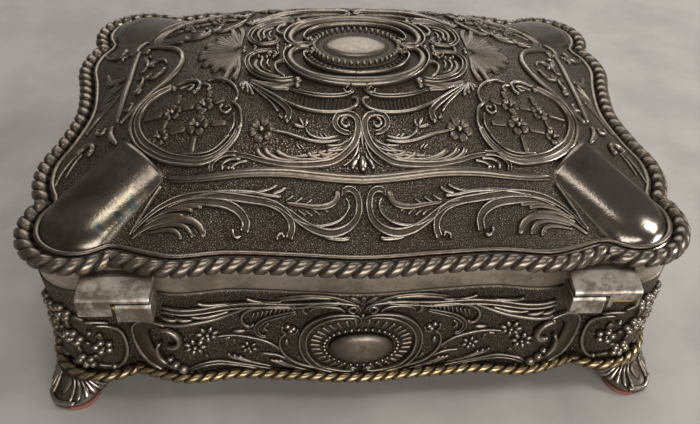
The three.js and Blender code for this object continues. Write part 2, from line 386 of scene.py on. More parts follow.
def plain_metal(name, dark, bright, rough, mottle, tarnish=()):
    """Plain worn metal with dark stains and small pits, and tarnish in patches."""
    material, tree, shader, coords = new_material(name)
    stain = noise_node(tree, coords, mottle, 7, 0.68)
    pits = noise_node(tree, coords, 1300, 2)
    color = mix_color(tree, ramp_node(tree, stain, 0.38, 0.6), dark, bright)
    for low, high, tint in tarnish:
        patches = noise_node(tree, coords, 62, 4, 0.6)
        color = mix_color(tree, ramp_node(tree, patches, low, high), color, tint)
    speck = ramp_node(tree, pits, 0.24, 0.34)
    pitted = mix_color(tree, speck, (0.06, 0.05, 0.045, 1), color)
    tree.links.new(pitted, shader.inputs["Base Color"])
    roughness = ramp_node(tree, stain, 0.3, 0.7, rough + 0.16, rough)
    tree.links.new(roughness, shader.inputs["Roughness"])
    shader.inputs["Metallic"].default_value = 1.0
    tree.links.new(bump_node(tree, pits, 0.00004), shader.inputs["Normal"])
    return material


# The ground is punched where its ground attribute is 1 and plain where it is 0, and rubbed as
# far as its lift attribute says.
silver_ground, tree, shader, coords = new_material("antique_silver_ground")
ground_share = attribute_node(tree, "ground")
grains = place_group(tree, STIPPLE, Vector=coords).outputs["Height"]
masked = math_node(tree, "MULTIPLY", grains, ground_share)
on_ground = math_node(tree, "MULTIPLY", masked, 0.62)
link_patina(tree, shader, coords, math_node(tree, "ADD", on_ground, attribute_node(tree, "lift")))
pits = bump_node(tree, masked, 0.00016)
scratches = noise_node(tree, coords, 900, 3)
tree.links.new(bump_node(tree, scratches, 0.00003, pits), shader.inputs["Normal"])

filed_skirt = plain_metal("filed_skirt", (0.31, 0.265, 0.21, 1), (0.62, 0.55, 0.46, 1), rough=0.44,
                          mottle=70)
# Tarnish: the two levels of the patches between which it fades in, and its colour.
CREAM_TARNISH = (0.55, 0.62, (0.28, 0.24, 0.17, 1))
BLUE_TARNISH = (0.60, 0.67, (0.09, 0.14, 0.15, 1))
boss_polish = plain_metal("polished_boss", (0.085, 0.068, 0.055, 1), (0.20, 0.172, 0.145, 1),
                          rough=0.17, mottle=45, tarnish=[CREAM_TARNISH, BLUE_TARNISH])

slope_steps = [step / 30 for step in range(31)]
crown_steps = [0.985, 0.95] + [0.9 - 0.05 * step for step in range(17)] + [0.05, 0.02]
outer = [flat_ring(SKIRT_OFFSET, z) for z in (SKIRT_Z, 52.5, SKIRT_TOP_Z)]
outer += [lid_ring(rise) for rise in slope_steps] + [crown_ring(share) for share in crown_steps]
cavity = [crown_ring(share, CAVITY_SINK) for share in crown_steps[::-4]]
cavity += [lid_ring(rise, SHOULDER_OFFSET - WALL, CAVITY_SINK) for rise in slope_steps[::-6]]
cavity += [flat_ring(SKIRT_OFFSET - WALL, SKIRT_Z)]
bm = bmesh.new()
ring_skin(bm, cavity + outer, False)
ground = bm.verts.layers.float.new("ground")
lift = bm.verts.layers.float.new("lift")
station = bm.verts.layers.int["station"]
for vert in bm.verts:
    on_boss = PLAN[vert[station]][2] == "ear"
    height = vert.co.z / MM
    on_crown = abs(crown_height(vert.co.x / MM, vert.co.y / MM) - height) < 0.02
    vert[ground] = 0.0 if height < SHOULDER_Z + 0.2 or (on_boss and not on_crown) else 1.0
    vert[lift] = 0.0 if vert[ground] else SMOOTH_RUB
    # Under the frames in the middle of the crown the ground is hardly punched.
    if Vector((vert.co.x / PLAIN_MIDDLE_X, vert.co.y / PLAIN_MIDDLE_Y)).length < MM:
        vert[ground] = 0.25
        vert[lift] = 0.1
SKIRT_SLOT, BOSS_SLOT = 1, 2
for face in bm.faces:
    corners = face.verts
    if face.calc_center_median().z / MM < SKIRT_TOP_Z + 0.1:
        face.material_index = SKIRT_SLOT
    elif (all(PLAN[vert[station]][2] == "ear" for vert in corners)
          and sum(vert[ground] for vert in corners) < 1):
        face.material_index = BOSS_SLOT
lid_tree = BVHTree.FromBMesh(bm)
shell = finish_piece("lid_shell_cast", bm, silver_ground, "lid", "lid_shell")
shell.data.materials.append(filed_skirt)
shell.data.materials.append(boss_polish)


def struck(tree, start, heading):
    """Where a line from a start in millimetres strikes a surface, and which way that faces."""
    found, normal, _, _ = tree.ray_cast(Vector(start) * MM, Vector(heading))
    return found, normal


def on_lid(x, y):
    """The lid's surface over a place in its plan."""
    return struck(lid_tree, (x, y, 120), (0, 0, -1))


# ---------------------------------------------------------------------------------------------
# Relief on the lid. Every scroll, leaf and petal is cast in one with the lid and stands about a
# millimetre proud of it; each is a round-backed stroke laid along a smooth curve. One quarter is
# drawn, in millimetres from the middle of the lid, and the others mirror it.
def rubbed_relief(name, **colors):
    """Raised ornament: its lift attribute is 0 at the foot of a stroke and 1 on its crest."""
    material, tree, shader, coords = new_material(name)
    link_patina(tree, shader, coords, attribute_node(tree, "lift"), **colors)
    wear = noise_node(tree, coords, 800, 4)
    tree.links.new(bump_node(tree, wear, 0.00005), shader.inputs["Normal"])
    return material


silver_relief = rubbed_relief("antique_silver_relief")


def curve_points(points):
    """Close-set places along a smooth curve through points, and how far along it each one is."""
    fine = [Vector(through(points, step / 160)) for step in range(161)]
    lengths = [0.0]
    for a, b in zip(fine, fine[1:]):
        lengths.append(lengths[-1] + (b - a).length)
    return fine, lengths


def at_length(fine, lengths, wanted):
    """The place and the direction of a curve at a distance along it."""
    low, high = 0, len(lengths) - 1
    while high - low > 1:
        middle = (low + high) // 2
        low, high = (middle, high) if lengths[middle] <= wanted else (low, middle)
    share = (wanted - lengths[low]) / max(lengths[high] - lengths[low], 1e-9)
    spot = fine[low].lerp(fine[high], share)
    ahead = fine[min(high + 1, len(fine) - 1)] - fine[max(low - 1, 0)]
    return spot, ahead.normalized()


def level_at(levels, place):
    """A value stepped evenly along a list, at a place from 0 to 1."""
    if len(levels) == 1:
        return levels[0]
    span = min(int(place * (len(levels) - 1)), len(levels) - 2)
    return mix(levels[span], levels[span + 1], place * (len(levels) - 1) - span)


def stroke(bm, surface, points, width, height, widths=(1,), shift=0.0, base=0.0, groove=0.0,
           tone=1.0):
    """One raised stroke: a ball drawn out along a curve and laid on a surface. Its width follows
    the levels in widths; shift moves it sideways by a share of the width; base lifts it; groove
    sinks its middle; tone says how far its crest is rubbed."""
    fine, lengths = curve_points(points)
    length = lengths[-1]
    nose = min(width / 2, length / 2.2)
    rings = max(8, min(56, int(length / 0.9) + 6))
    # The first and last three rings of the ball make its round ends.
    bend = 3 / rings
    lift = bm.verts.layers.float["lift"]
    across = 12 if groove else 8
    ball = bmesh.ops.create_uvsphere(bm, u_segments=across, v_segments=rings, radius=1)["verts"]
    for vert in ball:
        turn = math.acos(max(-1.0, min(1.0, -vert.co.z))) / math.pi
        edge = min(turn, 1 - turn)
        if edge < bend:
            gone = nose * (1 - math.cos(edge / bend * math.pi / 2))
            full = math.sin(edge / bend * math.pi / 2)
        else:
            gone = mix(nose, length / 2, (edge - bend) / (0.5 - bend))
            full = 1.0
        gone = gone if turn < 0.5 else length - gone
        spot, ahead = at_length(fine, lengths, gone)
        reach = math.hypot(vert.co.x, vert.co.y) or 1.0
        side, top = vert.co.x / reach, vert.co.y / reach
        if reach < 0.001:
            side = top = 0.0
        level = level_at(widths, gone / length)
        half = width / 2 * level * full
        centre = shift * width * level
        u = spot.x + ahead.y * (side * half + centre)
        v = spot.y - ahead.x * (side * half + centre)
        rise = max(top, 0.0) ** 0.8
        if groove:
            rise *= 1 - groove * math.exp(-(side / 0.38) ** 2)
        place, normal = surface(u, v)
        stand = (rise * height * (0.35 + 0.65 * min(1, level)) * full + base if top > 0
                 else 0.5 * top)
        vert.co = place + normal * (stand * MM)
        vert[lift] = tone * max(0.0, min(1.0, rise * full)) ** 1.4


def band(bm, surface, points, width, height, widths=(1,)):
    """A scroll: a hollow band between two raised edges that run together at its ends."""
    stroke(bm, surface, points, width, height * 0.62, widths, groove=0.4, tone=0.55)
    stroke(bm, surface, points, width * 0.34, height, widths, shift=1.05)
    stroke(bm, surface, points, width * 0.34, height, widths, shift=-1.05)


def oval(bm, surface, x, y, rx, ry, height, flat=1.0, base=0.0, tone=1.0, sides=12):
    """A raised oval: a ball pressed flat. A low flat value squares its edge."""
    lift = bm.verts.layers.float["lift"]
    ball = bmesh.ops.create_uvsphere(bm, u_segments=sides, v_segments=8, radius=1)["verts"]
    for vert in ball:
        rise = max(vert.co.z, 0.0) ** flat
        spread = 1 - max(-vert.co.z, 0.0) * 0.1
        place, normal = surface(x + rx * vert.co.x * spread, y + ry * vert.co.y * spread)
        stand = rise * height + base if vert.co.z > -0.01 else 0.5 * vert.co.z
        vert.co = place + normal * (stand * MM)
        vert[lift] = tone * rise


def knob(bm, surface, x, y, radius, height=1.1):
    oval(bm, surface, x, y, radius, radius, height)


def on_oval(angle, rx, ry, x=0, y=0):
    """The place at an angle on an oval round a middle."""
    return x + rx * math.cos(angle), y + ry * math.sin(angle)


def flower(bm, surface, x, y, radius, petals, turn, height, pointed=False):
    """Blunt or pointed petals round a bead."""
    for petal in range(petals):
        angle = turn + 2 * math.pi * petal / petals
        points = [on_oval(angle, reach, reach, x, y) for reach in (0.25 * radius, 1.08 * radius)]
        if pointed:
            stroke(bm, surface, points, radius * 0.52, height, (0.5, 1, 0.9, 0.25))
        else:
            width = min(0.95, 5.2 / petals) * radius
            stroke(bm, surface, points, width, height, (0.4, 0.95, 1.0), groove=0.5)
    knob(bm, surface, x, y, radius * 0.25, height * 1.2)


def blossom(bm, surface, x, y, radius, turn, height):
    """Five round petals, like berries, round a small one."""
    for petal in range(5):
        petal_place = on_oval(turn + 2 * math.pi * petal / 5, 0.62 * radius, 0.62 * radius, x, y)
        knob(bm, surface, *petal_place, 0.42 * radius, height)
    knob(bm, surface, x, y, radius * 0.24, height * 1.1)


def spiral(x, y, radius, start, turns, inner=0.25):
    """Points that wind in round a middle, from an angle in degrees, through some turns."""
    points = []
    for share in (step / 8 for step in range(9)):
        reach = radius * mix(1, inner, share)
        points.append(on_oval(math.radians(start + 360 * turns * share), reach, reach, x, y))
    return points


def relief(name, draw, surface, body, node, mirrors="XY"):
    """Draws strokes on one quarter, mirrors them to the others and makes them one piece."""
    bm = bmesh.new()
    bm.verts.layers.float.new("lift")
    draw(bm, surface)
    for axis in mirrors:
        bmesh.ops.mirror(bm, geom=bm.verts[:] + bm.edges[:] + bm.faces[:], matrix=Matrix(),
                         merge_dist=-1, axis=axis)
    bmesh.ops.recalc_face_normals(bm, faces=bm.faces)
    finish_piece(name, bm, silver_relief, body, node)


def lid_mouldings(bm, on):
    """The mouldings where the crown breaks into the slopes."""
    edge = [(52.5, 44), (47, 45.2), (40, 45.6), (33, 45.5), (27, 45.6), (20, 46), (13, 46.8),
            (6, 47.5), (0, 47.8), (-1.6, 47.8)]
    stroke(bm, on, edge, 2.3, 1.0, (0.6, 1, 1), tone=0.8)
    lower = [(x, y + 1.0) for x, y in edge]
    stroke(bm, on, lower, 1.2, 0.9, (0.4, 1, 1), tone=0.7)
    stroke(bm, on, [(61.2, 58.2), (57.4, 52), (53.6, 46)], 1.1, 1.1, (0.7, 1, 1))
    stroke(bm, on, [(69.5, 20.5), (69.3, 12), (69, 0), (69, -1.6)], 1.9, 1.1, (0.8, 1, 1))


relief("lid_edge_mouldings", lid_mouldings, on_lid, "lid", "lid_shell")


def lid_medallions(bm, on):
    """Oval frames in scrollwork round five-petalled flowers on a trellis."""
    frame_line = [(53.5, 13.5), (58, 14.8), (61, 17.2), (62.8, 20.5), (63.2, 24.8), (62, 29),
                  (59.8, 32.8), (56.5, 36), (52.8, 38.6), (49, 40.1), (44.5, 41.2), (40.5, 40.9),
                  (37.3, 39.2), (35, 36.8), (33.8, 34.2), (33.4, 32.6)]
    stroke(bm, on, frame_line, 3.6, 0.6, (0.7, 1, 1, 0.8, 0.5), tone=0.5)
    stroke(bm, on, frame_line, 1.0, 1.25, (0.6, 1, 1, 1, 0.7), shift=1.3)
    stroke(bm, on, frame_line, 0.7, 0.9, (0.6, 1, 1, 0.5, 0.3), shift=0.2)
    stroke(bm, on, frame_line, 0.8, 1.05, (0.6, 1, 1, 0.6, 0.3), shift=-1.6)
    stroke(bm, on, [(49, 38.6), (44, 39.5), (40.4, 39), (37.6, 37.2), (35.9, 35.2)], 0.7, 0.7)
    stroke(bm, on, [(53, 13.4), (50, 12.8), (47.4, 13.2), (45.4, 14.8), (45.6, 17.2),
                    (46.6, 18.4)], 1.4, 1.1, (0.6, 1, 1, 0.8))
    stroke(bm, on, [(51.5, 15.6), (48.8, 15), (47, 15.6), (47.8, 16.8), (49.4, 16.6)], 0.9, 0.9)
    knob(bm, on, 46.7, 18.6, 0.7)
    knob(bm, on, 53.0, 14.8, 1.0)
    stroke(bm, on, [(43.6, 14.6), (41.4, 14.2), (38.6, 15.3), (36, 17.6), (34.5, 20.4),
                    (34.1, 23), (35, 25)], 1.1, 1.2, (0.5, 1, 1, 0.8))
    stroke(bm, on, [(45, 15.6), (43.2, 16.2), (42.2, 17.8), (43.4, 18.6)], 1.2, 0.9)
    stroke(bm, on, [(35.8, 24.8), (33.6, 27), (32.8, 30), (32.6, 32.4), (33.2, 34.4)], 1.2, 1.2)
    stroke(bm, on, spiral(36.9, 26.9, 2.1, -60, 1.1), 1.0, 1.1, (1, 0.8, 0.9))
    stroke(bm, on, [(35.1, 28.6), (34.6, 31), (35, 33.4), (36.4, 35.6)], 0.8, 0.9, (1, 1, 0.5))
    knob(bm, on, 33.2, 33.8, 0.9)
    flower(bm, on, 44.8, 30.9, 3.1, 5, 0.6, 1.1)
    flower(bm, on, 43.4, 24.4, 2.6, 5, 0.2, 1.1)
    flower(bm, on, 52.4, 24.6, 2.6, 5, 0.9, 1.1)
    flower(bm, on, 55.4, 32.0, 2.5, 5, 0.4, 1.1)
    sticks = [((41.3, 31.3), (36.6, 31.6)), ((44.2, 27.8), (44, 26.4)), ((47.9, 31.4), (53, 31.4)),
              ((45.4, 34), (46.2, 39.2)), ((46, 24), (50, 24)), ((51.6, 22.0), (50.8, 18.2)),
              ((53.8, 26.8), (55, 30)), ((61, 24), (55.2, 24.2)), ((42.6, 21.9), (41.8, 18.9)),
              ((41, 24.2), (37.4, 23.2)), ((57.8, 33.2), (59, 31.4))]
    for stick in sticks:
        stroke(bm, on, stick, 1.7, 0.9, groove=0.45)


relief("lid_flower_medallions", lid_medallions, on_lid, "lid", "lid_shell")


def lid_centre_scrolls(bm, on):
    """The pair of tall scrolls on each long side, with their feathers and stems."""
    stem = [(3.4, 36.3), (5.2, 36), (6.8, 34.8), (7.3, 32.8), (6.3, 30.9), (4.2, 30.3), (2, 31),
            (0.9, 33), (1, 36), (2.2, 39.4), (4.6, 42), (8, 43.9), (12, 44.5), (17, 44.6),
            (22, 44.2), (27, 43.1), (31, 41.8), (34, 41.2)]
    stroke(bm, on, stem, 2.1, 0.6, (0.5, 0.8, 1.1, 1, 0.8, 0.6), groove=0.4, tone=0.65)
    stroke(bm, on, stem, 0.8, 1.1, (0.7, 1, 1, 0.9, 0.7, 0.6), shift=0.95)
    stroke(bm, on, stem, 0.7, 1.0, (0.7, 1, 1, 0.8, 0.6, 0.6), shift=-1.0)
    stroke(bm, on, spiral(4.1, 33.4, 1.75, -100, 0.95, 0.3), 1.15, 1.1, (1, 0.9, 0.9))
    band(bm, on, [(1.9, 36.6), (3.3, 38.9), (6, 40.4), (10, 40.6)], 1.8, 1.1, (0.5, 1, 1.1))
    for shift in (0, 1.3, 2.5):
        stroke(bm, on, [(22 - shift * 2, 42.4 - shift * 0.1), (15.5 - shift, 43.1 - shift * 0.6),
                        (10 - shift, 43 - shift), (6 - shift, 41 - shift * 1.3)], 0.7, 0.7,
               (0.4, 1, 0.6))
    stroke(bm, on, [(0.7, 38), (1.4, 41), (2.8, 43.4), (5.4, 45)], 0.8, 0.9, (0.6, 1, 0.6))
    stroke(bm, on, [(0.8, 41.6), (1.5, 43.6), (3, 45.3)], 0.7, 0.8)
    band(bm, on, [(33.4, 41), (36.6, 40.8), (39, 41.6), (40.4, 43), (40.2, 44.8)], 1.5, 1.1,
         (1, 1, 0.8))
    stroke(bm, on, [(32.4, 42.4), (35.4, 42.2), (37.4, 43.2), (37.3, 44.8)], 1.0, 1.0)
    stroke(bm, on, [(30.6, 43), (33.4, 43.3), (35.4, 44.6)], 0.9, 0.9)
    knob(bm, on, 35.7, 44.3, 0.6)
    knob(bm, on, 34.3, 44.6, 0.5)
    stroke(bm, on, [(24.3, 35.2), (20.8, 36), (17.6, 37.2), (14.1, 38.3), (10, 38.8),
                    (6.2, 38.2)], 1.1, 1.0, (0.8, 1, 1.1, 0.8))
    stroke(bm, on, [(15.4, 34.6), (14.5, 36.4), (12.8, 37.5), (10, 37.9), (6.6, 37.2)], 0.9, 1.0)
    flower(bm, on, 27.2, 34.6, 3.6, 6, 0.2, 1.1)
    for leaf in ([(18.8, 33.4), (17.4, 34), (15.4, 34.4)], [(15.2, 31.8), (14.9, 33), (15.6, 34.2)],
                 [(17.2, 31.4), (16.4, 32.6), (15.8, 34.2)]):
        stroke(bm, on, leaf, 1.4, 0.9, (1, 0.9, 0.5))
    feathers = [[(28.4, 39.4), (27.6, 41.4), (25, 42.9), (20.6, 43.7)],
                [(26.3, 39.4), (25.4, 41.3), (22.4, 42.9), (17.6, 43.6)],
                [(23.4, 40.2), (22, 41.6), (18.8, 42.8), (14, 43.5)],
                [(14.9, 41), (13.8, 42.4), (11, 43.3), (7.6, 42.9)],
                [(12.3, 40.9), (10.8, 42), (8.4, 42.3), (5.6, 41.6)]]
    for leaf in feathers:
        stroke(bm, on, leaf, 1.9, 1.0, (1, 0.7, 0.5, 0.3), groove=0.25)
    for x in (18, 17, 11.6, 10.4):
        y = 39 if x > 15 else 36.2
        stroke(bm, on, [(x, y), (x - 1.3, y + 1.6)], 0.7, 0.6)


relief("lid_centre_scrolls", lid_centre_scrolls, on_lid, "lid", "lid_shell")


def ribbed_bands(bm, on):
    """Curved bands with fine ribs, and the acanthus that runs down beside them."""
    outer_line = [(31, 17.6), (29, 19.4), (25, 22.8), (21, 26), (16.8, 28.3), (12.6, 29.6),
                  (8.5, 30), (4.6, 29.6), (1.9, 28.4), (0.7, 26.6), (1.2, 24.9), (2.7, 24.9)]
    stroke(bm, on, outer_line, 1.2, 1.3, (0.5, 0.9, 1, 1, 1, 0.8))
    inner_line = [(21, 20.6), (17, 22.6), (12.6, 23.9), (8.4, 24.3), (4.3, 23.9), (2, 22.4),
                  (1.6, 20.8), (2.8, 20), (4.1, 20.7)]
    band(bm, on, inner_line, 1.3, 1.1, (0.4, 1, 1, 1, 0.7))
    for step in range(17):
        x = 3.6 + 1.15 * step
        top, low = 24.6 - 0.012 * (x - 8) ** 2, 29.2 - 0.022 * max(x - 8, 0) ** 2
        stroke(bm, on, [(x, top), (x + 0.5, low)], 0.8, 0.22, (0.8, 1, 0.8), tone=0.2)
    acanthus = [(31.4, 17.2), (27.5, 21.2), (23.8, 24.8), (20.9, 27.8), (19.7, 30), (20.3, 32.4)]
    band(bm, on, acanthus, 1.9, 1.2, (0.5, 0.8, 1, 1))
    stroke(bm, on, [(21.4, 31.6), (22.4, 31), (22.2, 30)], 0.9, 1.0)
    knob(bm, on, 20.3, 32.6, 0.8, 1.3)
    stroke(bm, on, [(31.2, 18.4), (27.6, 22.8), (24.6, 26.4), (22.8, 29.4)], 0.9, 0.9)
    for tip in ((34.2, 18.8), (33.2, 20.4), (31.4, 21.8), (29.9, 22.8)):
        stroke(bm, on, [(31.9, 16.8), tip], 1.2, 0.9, (0.4, 1, 1.1))
    stroke(bm, on, [(31.2, 15.9), (27.6, 18.4), (23.6, 19.4), (20.2, 18.6), (18.2, 18)], 3.2, 1.0,
           (0.3, 0.8, 1, 1.1), groove=0.3)
    stroke(bm, on, [(29, 17.9), (25, 20.4), (21.4, 20.9), (19.6, 21.3)], 1.5, 1.1, (0.4, 1, 1.1))
    knob(bm, on, 17.4, 17.6, 1.3, 1.3)
    knob(bm, on, 17.6, 19.8, 0.9, 1.2)


relief("lid_ribbed_bands", ribbed_bands, on_lid, "lid", "lid_shell")


def cartouche_frame(bm, on):
    """The stout oval tube round the plate, with a fluted trough inside it."""
    tube = [(13.6, 1.9), (15.2, 0.8), (17.4, 0.9), (19.3, 3), (19.8, 6.6), (18, 11.4),
            (13.8, 15.4), (7.6, 17.8), (0, 18.6), (-2.8, 18.5)]
    stroke(bm, on, tube, 4.2, 2.0, (0.35, 0.6, 0.8, 1), tone=0.8)
    stroke(bm, on, tube, 0.8, 1.7, (1,), shift=2.2)
    inner = [(13.2, 4.6), (14.4, 3.6), (15.6, 4.4), (15.4, 7), (13.4, 10.4), (9.6, 13),
             (4.8, 14.5), (0, 15), (-1.2, 15)]
    stroke(bm, on, inner, 0.9, 1.6, (0.9, 1, 1))
    knob(bm, on, 13.2, 2.6, 1.1, 1.6)
    for step in range(12):
        angle = math.radians(82 - 6.2 * step)
        stroke(bm, on, [on_oval(angle, 15.6, 14.2), on_oval(angle, 14.4, 12.8)], 0.6, 0.5,
               tone=0.6)


relief("lid_cartouche_frame", cartouche_frame, on_lid, "lid", "lid_shell")


def cartouche_plate(bm, on):
    """The plain oval plate in the middle, with a row of long beads round it."""
    oval(bm, on, 0, 0, 14.4, 12, 0.7, 0.4, tone=0.35, sides=64)
    beads = 42
    for bead in range(beads):
        angle = 2 * math.pi * (bead + 0.5) / beads
        stroke(bm, on, [on_oval(angle, 12, 9.7), on_oval(angle, 13.5, 11.2)], 1.3, 1.3, base=0.5)
    oval(bm, on, 0, 0, 10.4, 7.8, 0.35, 0.3, base=0.5, tone=0.15, sides=64)
    oval(bm, on, 0, 0, 9.4, 6.8, 0.9, 0.3, base=0.3, tone=0.8, sides=64)


relief("lid_cartouche_plate", cartouche_plate, on_lid, "lid", "lid_shell", "")


def flanking_scrolls(bm, on):
    """The big C-scrolls on both sides of the plate."""
    big = [(24.6, 5), (23.4, 4), (24, 2.6), (26.2, 2), (29.4, 2.3), (31.6, 4.6), (32.2, 8),
           (30.8, 12.6), (27.2, 16), (22.6, 17.6), (18.6, 17.2)]
    band(bm, on, big, 1.7, 1.3, (0.6, 0.8, 1, 1, 1.1))
    stroke(bm, on, [(29.3, 6.2), (29.8, 9.4), (28.6, 12.4), (25.6, 14.8), (22, 15.8)], 1.3, 1.0,
           (0.6, 1, 1, 0.6), groove=0.3)
    stroke(bm, on, [(27.6, 6.4), (28.2, 9.4), (27.2, 11.8), (25, 13.4)], 1.0, 0.9, (1, 1, 0.5))
    stroke(bm, on, [(26, 6.8), (26.4, 9), (25.6, 10.9)], 0.8, 0.8)
    stroke(bm, on, [(21.6, 8), (23.2, 8.6), (24, 10.6), (23.2, 13.6), (21, 16)], 1.1, 1.1)
    knob(bm, on, 21.6, 7.8, 0.9, 1.2)
    stroke(bm, on, spiral(25.4, 4.2, 2.0, 100, 1.0), 0.8, 1.2, (1, 0.9, 0.8))
    stroke(bm, on, spiral(2.9, 21.8, 1.7, -20, 0.9), 0.8, 1.1, (1, 0.9, 0.8))
    for x, y in ((29, 5), (28, 6), (26.6, 5.6)):
        knob(bm, on, x, y, 0.6, 1.2)
    for x in (33.6, 30.4, 23.6, 21.2):
        knob(bm, on, x, 0.9, 0.7, 1.0)


relief("lid_flanking_scrolls", flanking_scrolls, on_lid, "lid", "lid_shell")


def shell_fans(bm, on):
    """Half of the ribbed shell at each end of the crown."""
    for step in range(8):
        angle = math.radians(6 + 11.5 * step)
        far = 13.4 - 1.6 * (step % 2) - 0.1 * step
        ray = [on_oval(angle, reach, reach, 34.6) for reach in (1.5, far * 0.6, far)]
        stroke(bm, on, ray, 3.0, 1.0, (0.2, 0.6, 1), groove=0.5, tone=0.85)
    for x, y in ((38.6, 16.3), (35.8, 15.6)):
        stroke(bm, on, [(34.9, 3), (x - 1.2, y - 5), (x, y)], 1.8, 0.9, (0.3, 0.8, 1.1), groove=0.3)


relief("lid_shell_fans", shell_fans, on_lid, "lid", "lid_shell")


def slope_scrolls(bm, on):
    """The long leafy scrolls on the slopes of both long sides."""
    main = [(60.6, 57.6), (57.5, 54.6), (53.5, 52), (48.5, 50.5), (42, 50.4), (35.5, 51.2),
            (30, 52), (25.5, 52.8), (22, 54.2), (19.7, 56.4), (19, 58.8), (19.8, 61)]
    band(bm, on, main, 2.0, 1.1, (0.3, 0.9, 1.1, 1, 1))
    stroke(bm, on, [(22.6, 61.2), (22.8, 60.2), (21.6, 59.6), (20.9, 60.8)], 1.0, 1.1)
    hook = [(52.5, 53), (47, 51.8), (41, 52.2), (36, 53), (32.6, 54.7), (31, 57), (31.4, 59.2)]
    band(bm, on, hook, 2.4, 1.2, (0.3, 0.7, 1, 1, 1))
    stroke(bm, on, [(34.2, 58), (34.4, 59.4), (33.4, 60.2), (32, 59.8)], 1.1, 1.2)
    stroke(bm, on, [(46, 50.6), (38, 49.9), (30, 50.3), (25.4, 51.2), (21.6, 51.6)], 1.3, 1.0,
           (0.4, 1, 1, 0.8))
    stroke(bm, on, [(29, 50.4), (25.4, 50), (22.6, 49)], 0.9, 0.9)
    stroke(bm, on, [(24.4, 51), (22, 50.4), (20.4, 49.6)], 1.1, 0.9)
    swing = [(27, 52.6), (22.6, 53.6), (19.4, 55.4), (16.2, 57.6), (12.6, 59.4), (8.6, 60.2),
             (4.8, 59.4), (2.2, 57.4), (1.3, 54.6), (1.8, 51.8), (3.6, 50.4), (5.4, 50.8),
             (5.2, 51.8)]
    band(bm, on, swing, 1.9, 1.2, (0.4, 0.9, 1.2, 1, 0.8))
    stroke(bm, on, [(19, 56.3), (15, 58), (11, 58.4), (7, 57.6), (4.6, 55.8), (4, 53.6),
                    (5, 52.2)], 1.0, 0.9, (0.4, 1, 1, 0.7))
    stroke(bm, on, [(6.9, 50.3), (7.1, 52.2), (8.6, 53.7), (12, 54.2), (16.6, 53.6),
                    (21, 53)], 2.0, 1.1, (1, 0.9, 0.6, 0.4), groove=0.3)
    for x, y in ((9.5, 55.4), (11.5, 56), (13.5, 56.2), (15.4, 56)):
        stroke(bm, on, [(x, y), (x + 2.2, y - 1.4)], 0.8, 0.7, (1, 0.5))
    for x, y in ((13.5, 52.4), (16, 51.9), (18.4, 51.4)):
        stroke(bm, on, [(x, y), (x + 2.4, y + 1.2)], 0.8, 0.7, (1, 0.5))
    stroke(bm, on, [(14, 59.4), (9.6, 61.2), (5.4, 61.6), (3.8, 61.2)], 1.3, 1.0, (0.3, 0.8, 1.2))
    fan = [([(61, 59.2), (56.5, 56.6), (51, 55.6), (46, 56), (42.8, 57.8), (41.6, 60.4)], 2.2),
           ([(56.5, 57.4), (50.8, 56.8), (46.6, 57.8), (44.4, 60.4)], 1.4),
           ([(57, 58.3), (52, 58), (48.8, 58.8), (47.4, 60.8)], 1.4),
           ([(58, 56.4), (53.6, 54.6), (49.2, 54.6), (46.8, 55.3)], 1.2),
           ([(57.6, 55.4), (52.6, 53.5), (48, 53.2), (44.6, 54)], 1.2),
           ([(54, 53.4), (50, 52.6), (46, 52.8), (42.2, 53.4)], 1.0)]
    for line, width in fan:
        stroke(bm, on, line, width, 1.1, (0.3, 0.7, 1, 0.9), groove=0.3)


relief("lid_long_slope_scrolls", slope_scrolls, on_lid, "lid", "lid_shell")


def end_scrolls(bm, on):
    """The scrolls and frames on the slopes of both ends."""
    frame_line = [(68.6, 21.4), (65.4, 18.6), (62, 15.6), (59.4, 12.8), (56, 9.6), (53.2, 5),
                  (52.3, 0), (52.4, -1.4)]
    stroke(bm, on, frame_line, 1.8, 1.2, (0.6, 1, 1))
    stroke(bm, on, [(57.4, 1.2), (58.2, 3.6), (60.6, 5), (62.6, 4.2), (62.4, 2.6), (61.2, 2.6)],
           1.2, 1.1, (0.7, 1, 1))
    stroke(bm, on, [(66.6, 2), (64.4, 2.4), (63.9, 5), (64.5, 8), (65.6, 9.6), (64.6, 10.4),
                    (63.4, 9.4)], 1.2, 1.1, (0.6, 1, 1))
    knob(bm, on, 64.8, 7.2, 0.9, 1.2)
    stroke(bm, on, [(68, 16.4), (66.2, 17.2), (65.2, 15.6), (66.4, 14.4)], 1.1, 1.1)
    stroke(bm, on, [(70.6, 21), (70.8, 24), (69.6, 27), (68, 29.2)], 2.0, 1.2, (0.6, 1, 0.7))
    stroke(bm, on, [(80.6, 27.4), (79, 25.4), (76.4, 25.6), (75.6, 28), (77, 29.8)], 1.6, 1.4)
    stroke(bm, on, [(79.6, 26.2), (82.2, 29), (84.4, 33), (85.4, 36.6)], 1.0, 0.9, (0.8, 1, 0.5))
    stroke(bm, on, [(78.8, 27.6), (80.8, 30.6), (82.6, 34.8)], 0.9, 0.8, (0.8, 1, 0.5))
    stroke(bm, on, [(72.4, 21), (73.8, 22.4), (75.6, 21.4), (75.2, 19.4)], 1.1, 1.1)
    stroke(bm, on, [(80, 14), (77.4, 9.6), (73.6, 6), (71.6, 4.6)], 2.2, 1.1, (0.5, 1, 0.8),
           groove=0.3)
    stroke(bm, on, [(80.4, 17), (78.6, 12.4), (76, 8)], 1.0, 0.9)
    for y in (1.5, 4.5):
        stroke(bm, on, [(79.6, y * 0.6), (76, y), (72.6, y * 1.6)], 1.5, 0.9, (0.6, 1, 0.6))


relief("lid_end_scrolls", end_scrolls, on_lid, "lid", "lid_shell")


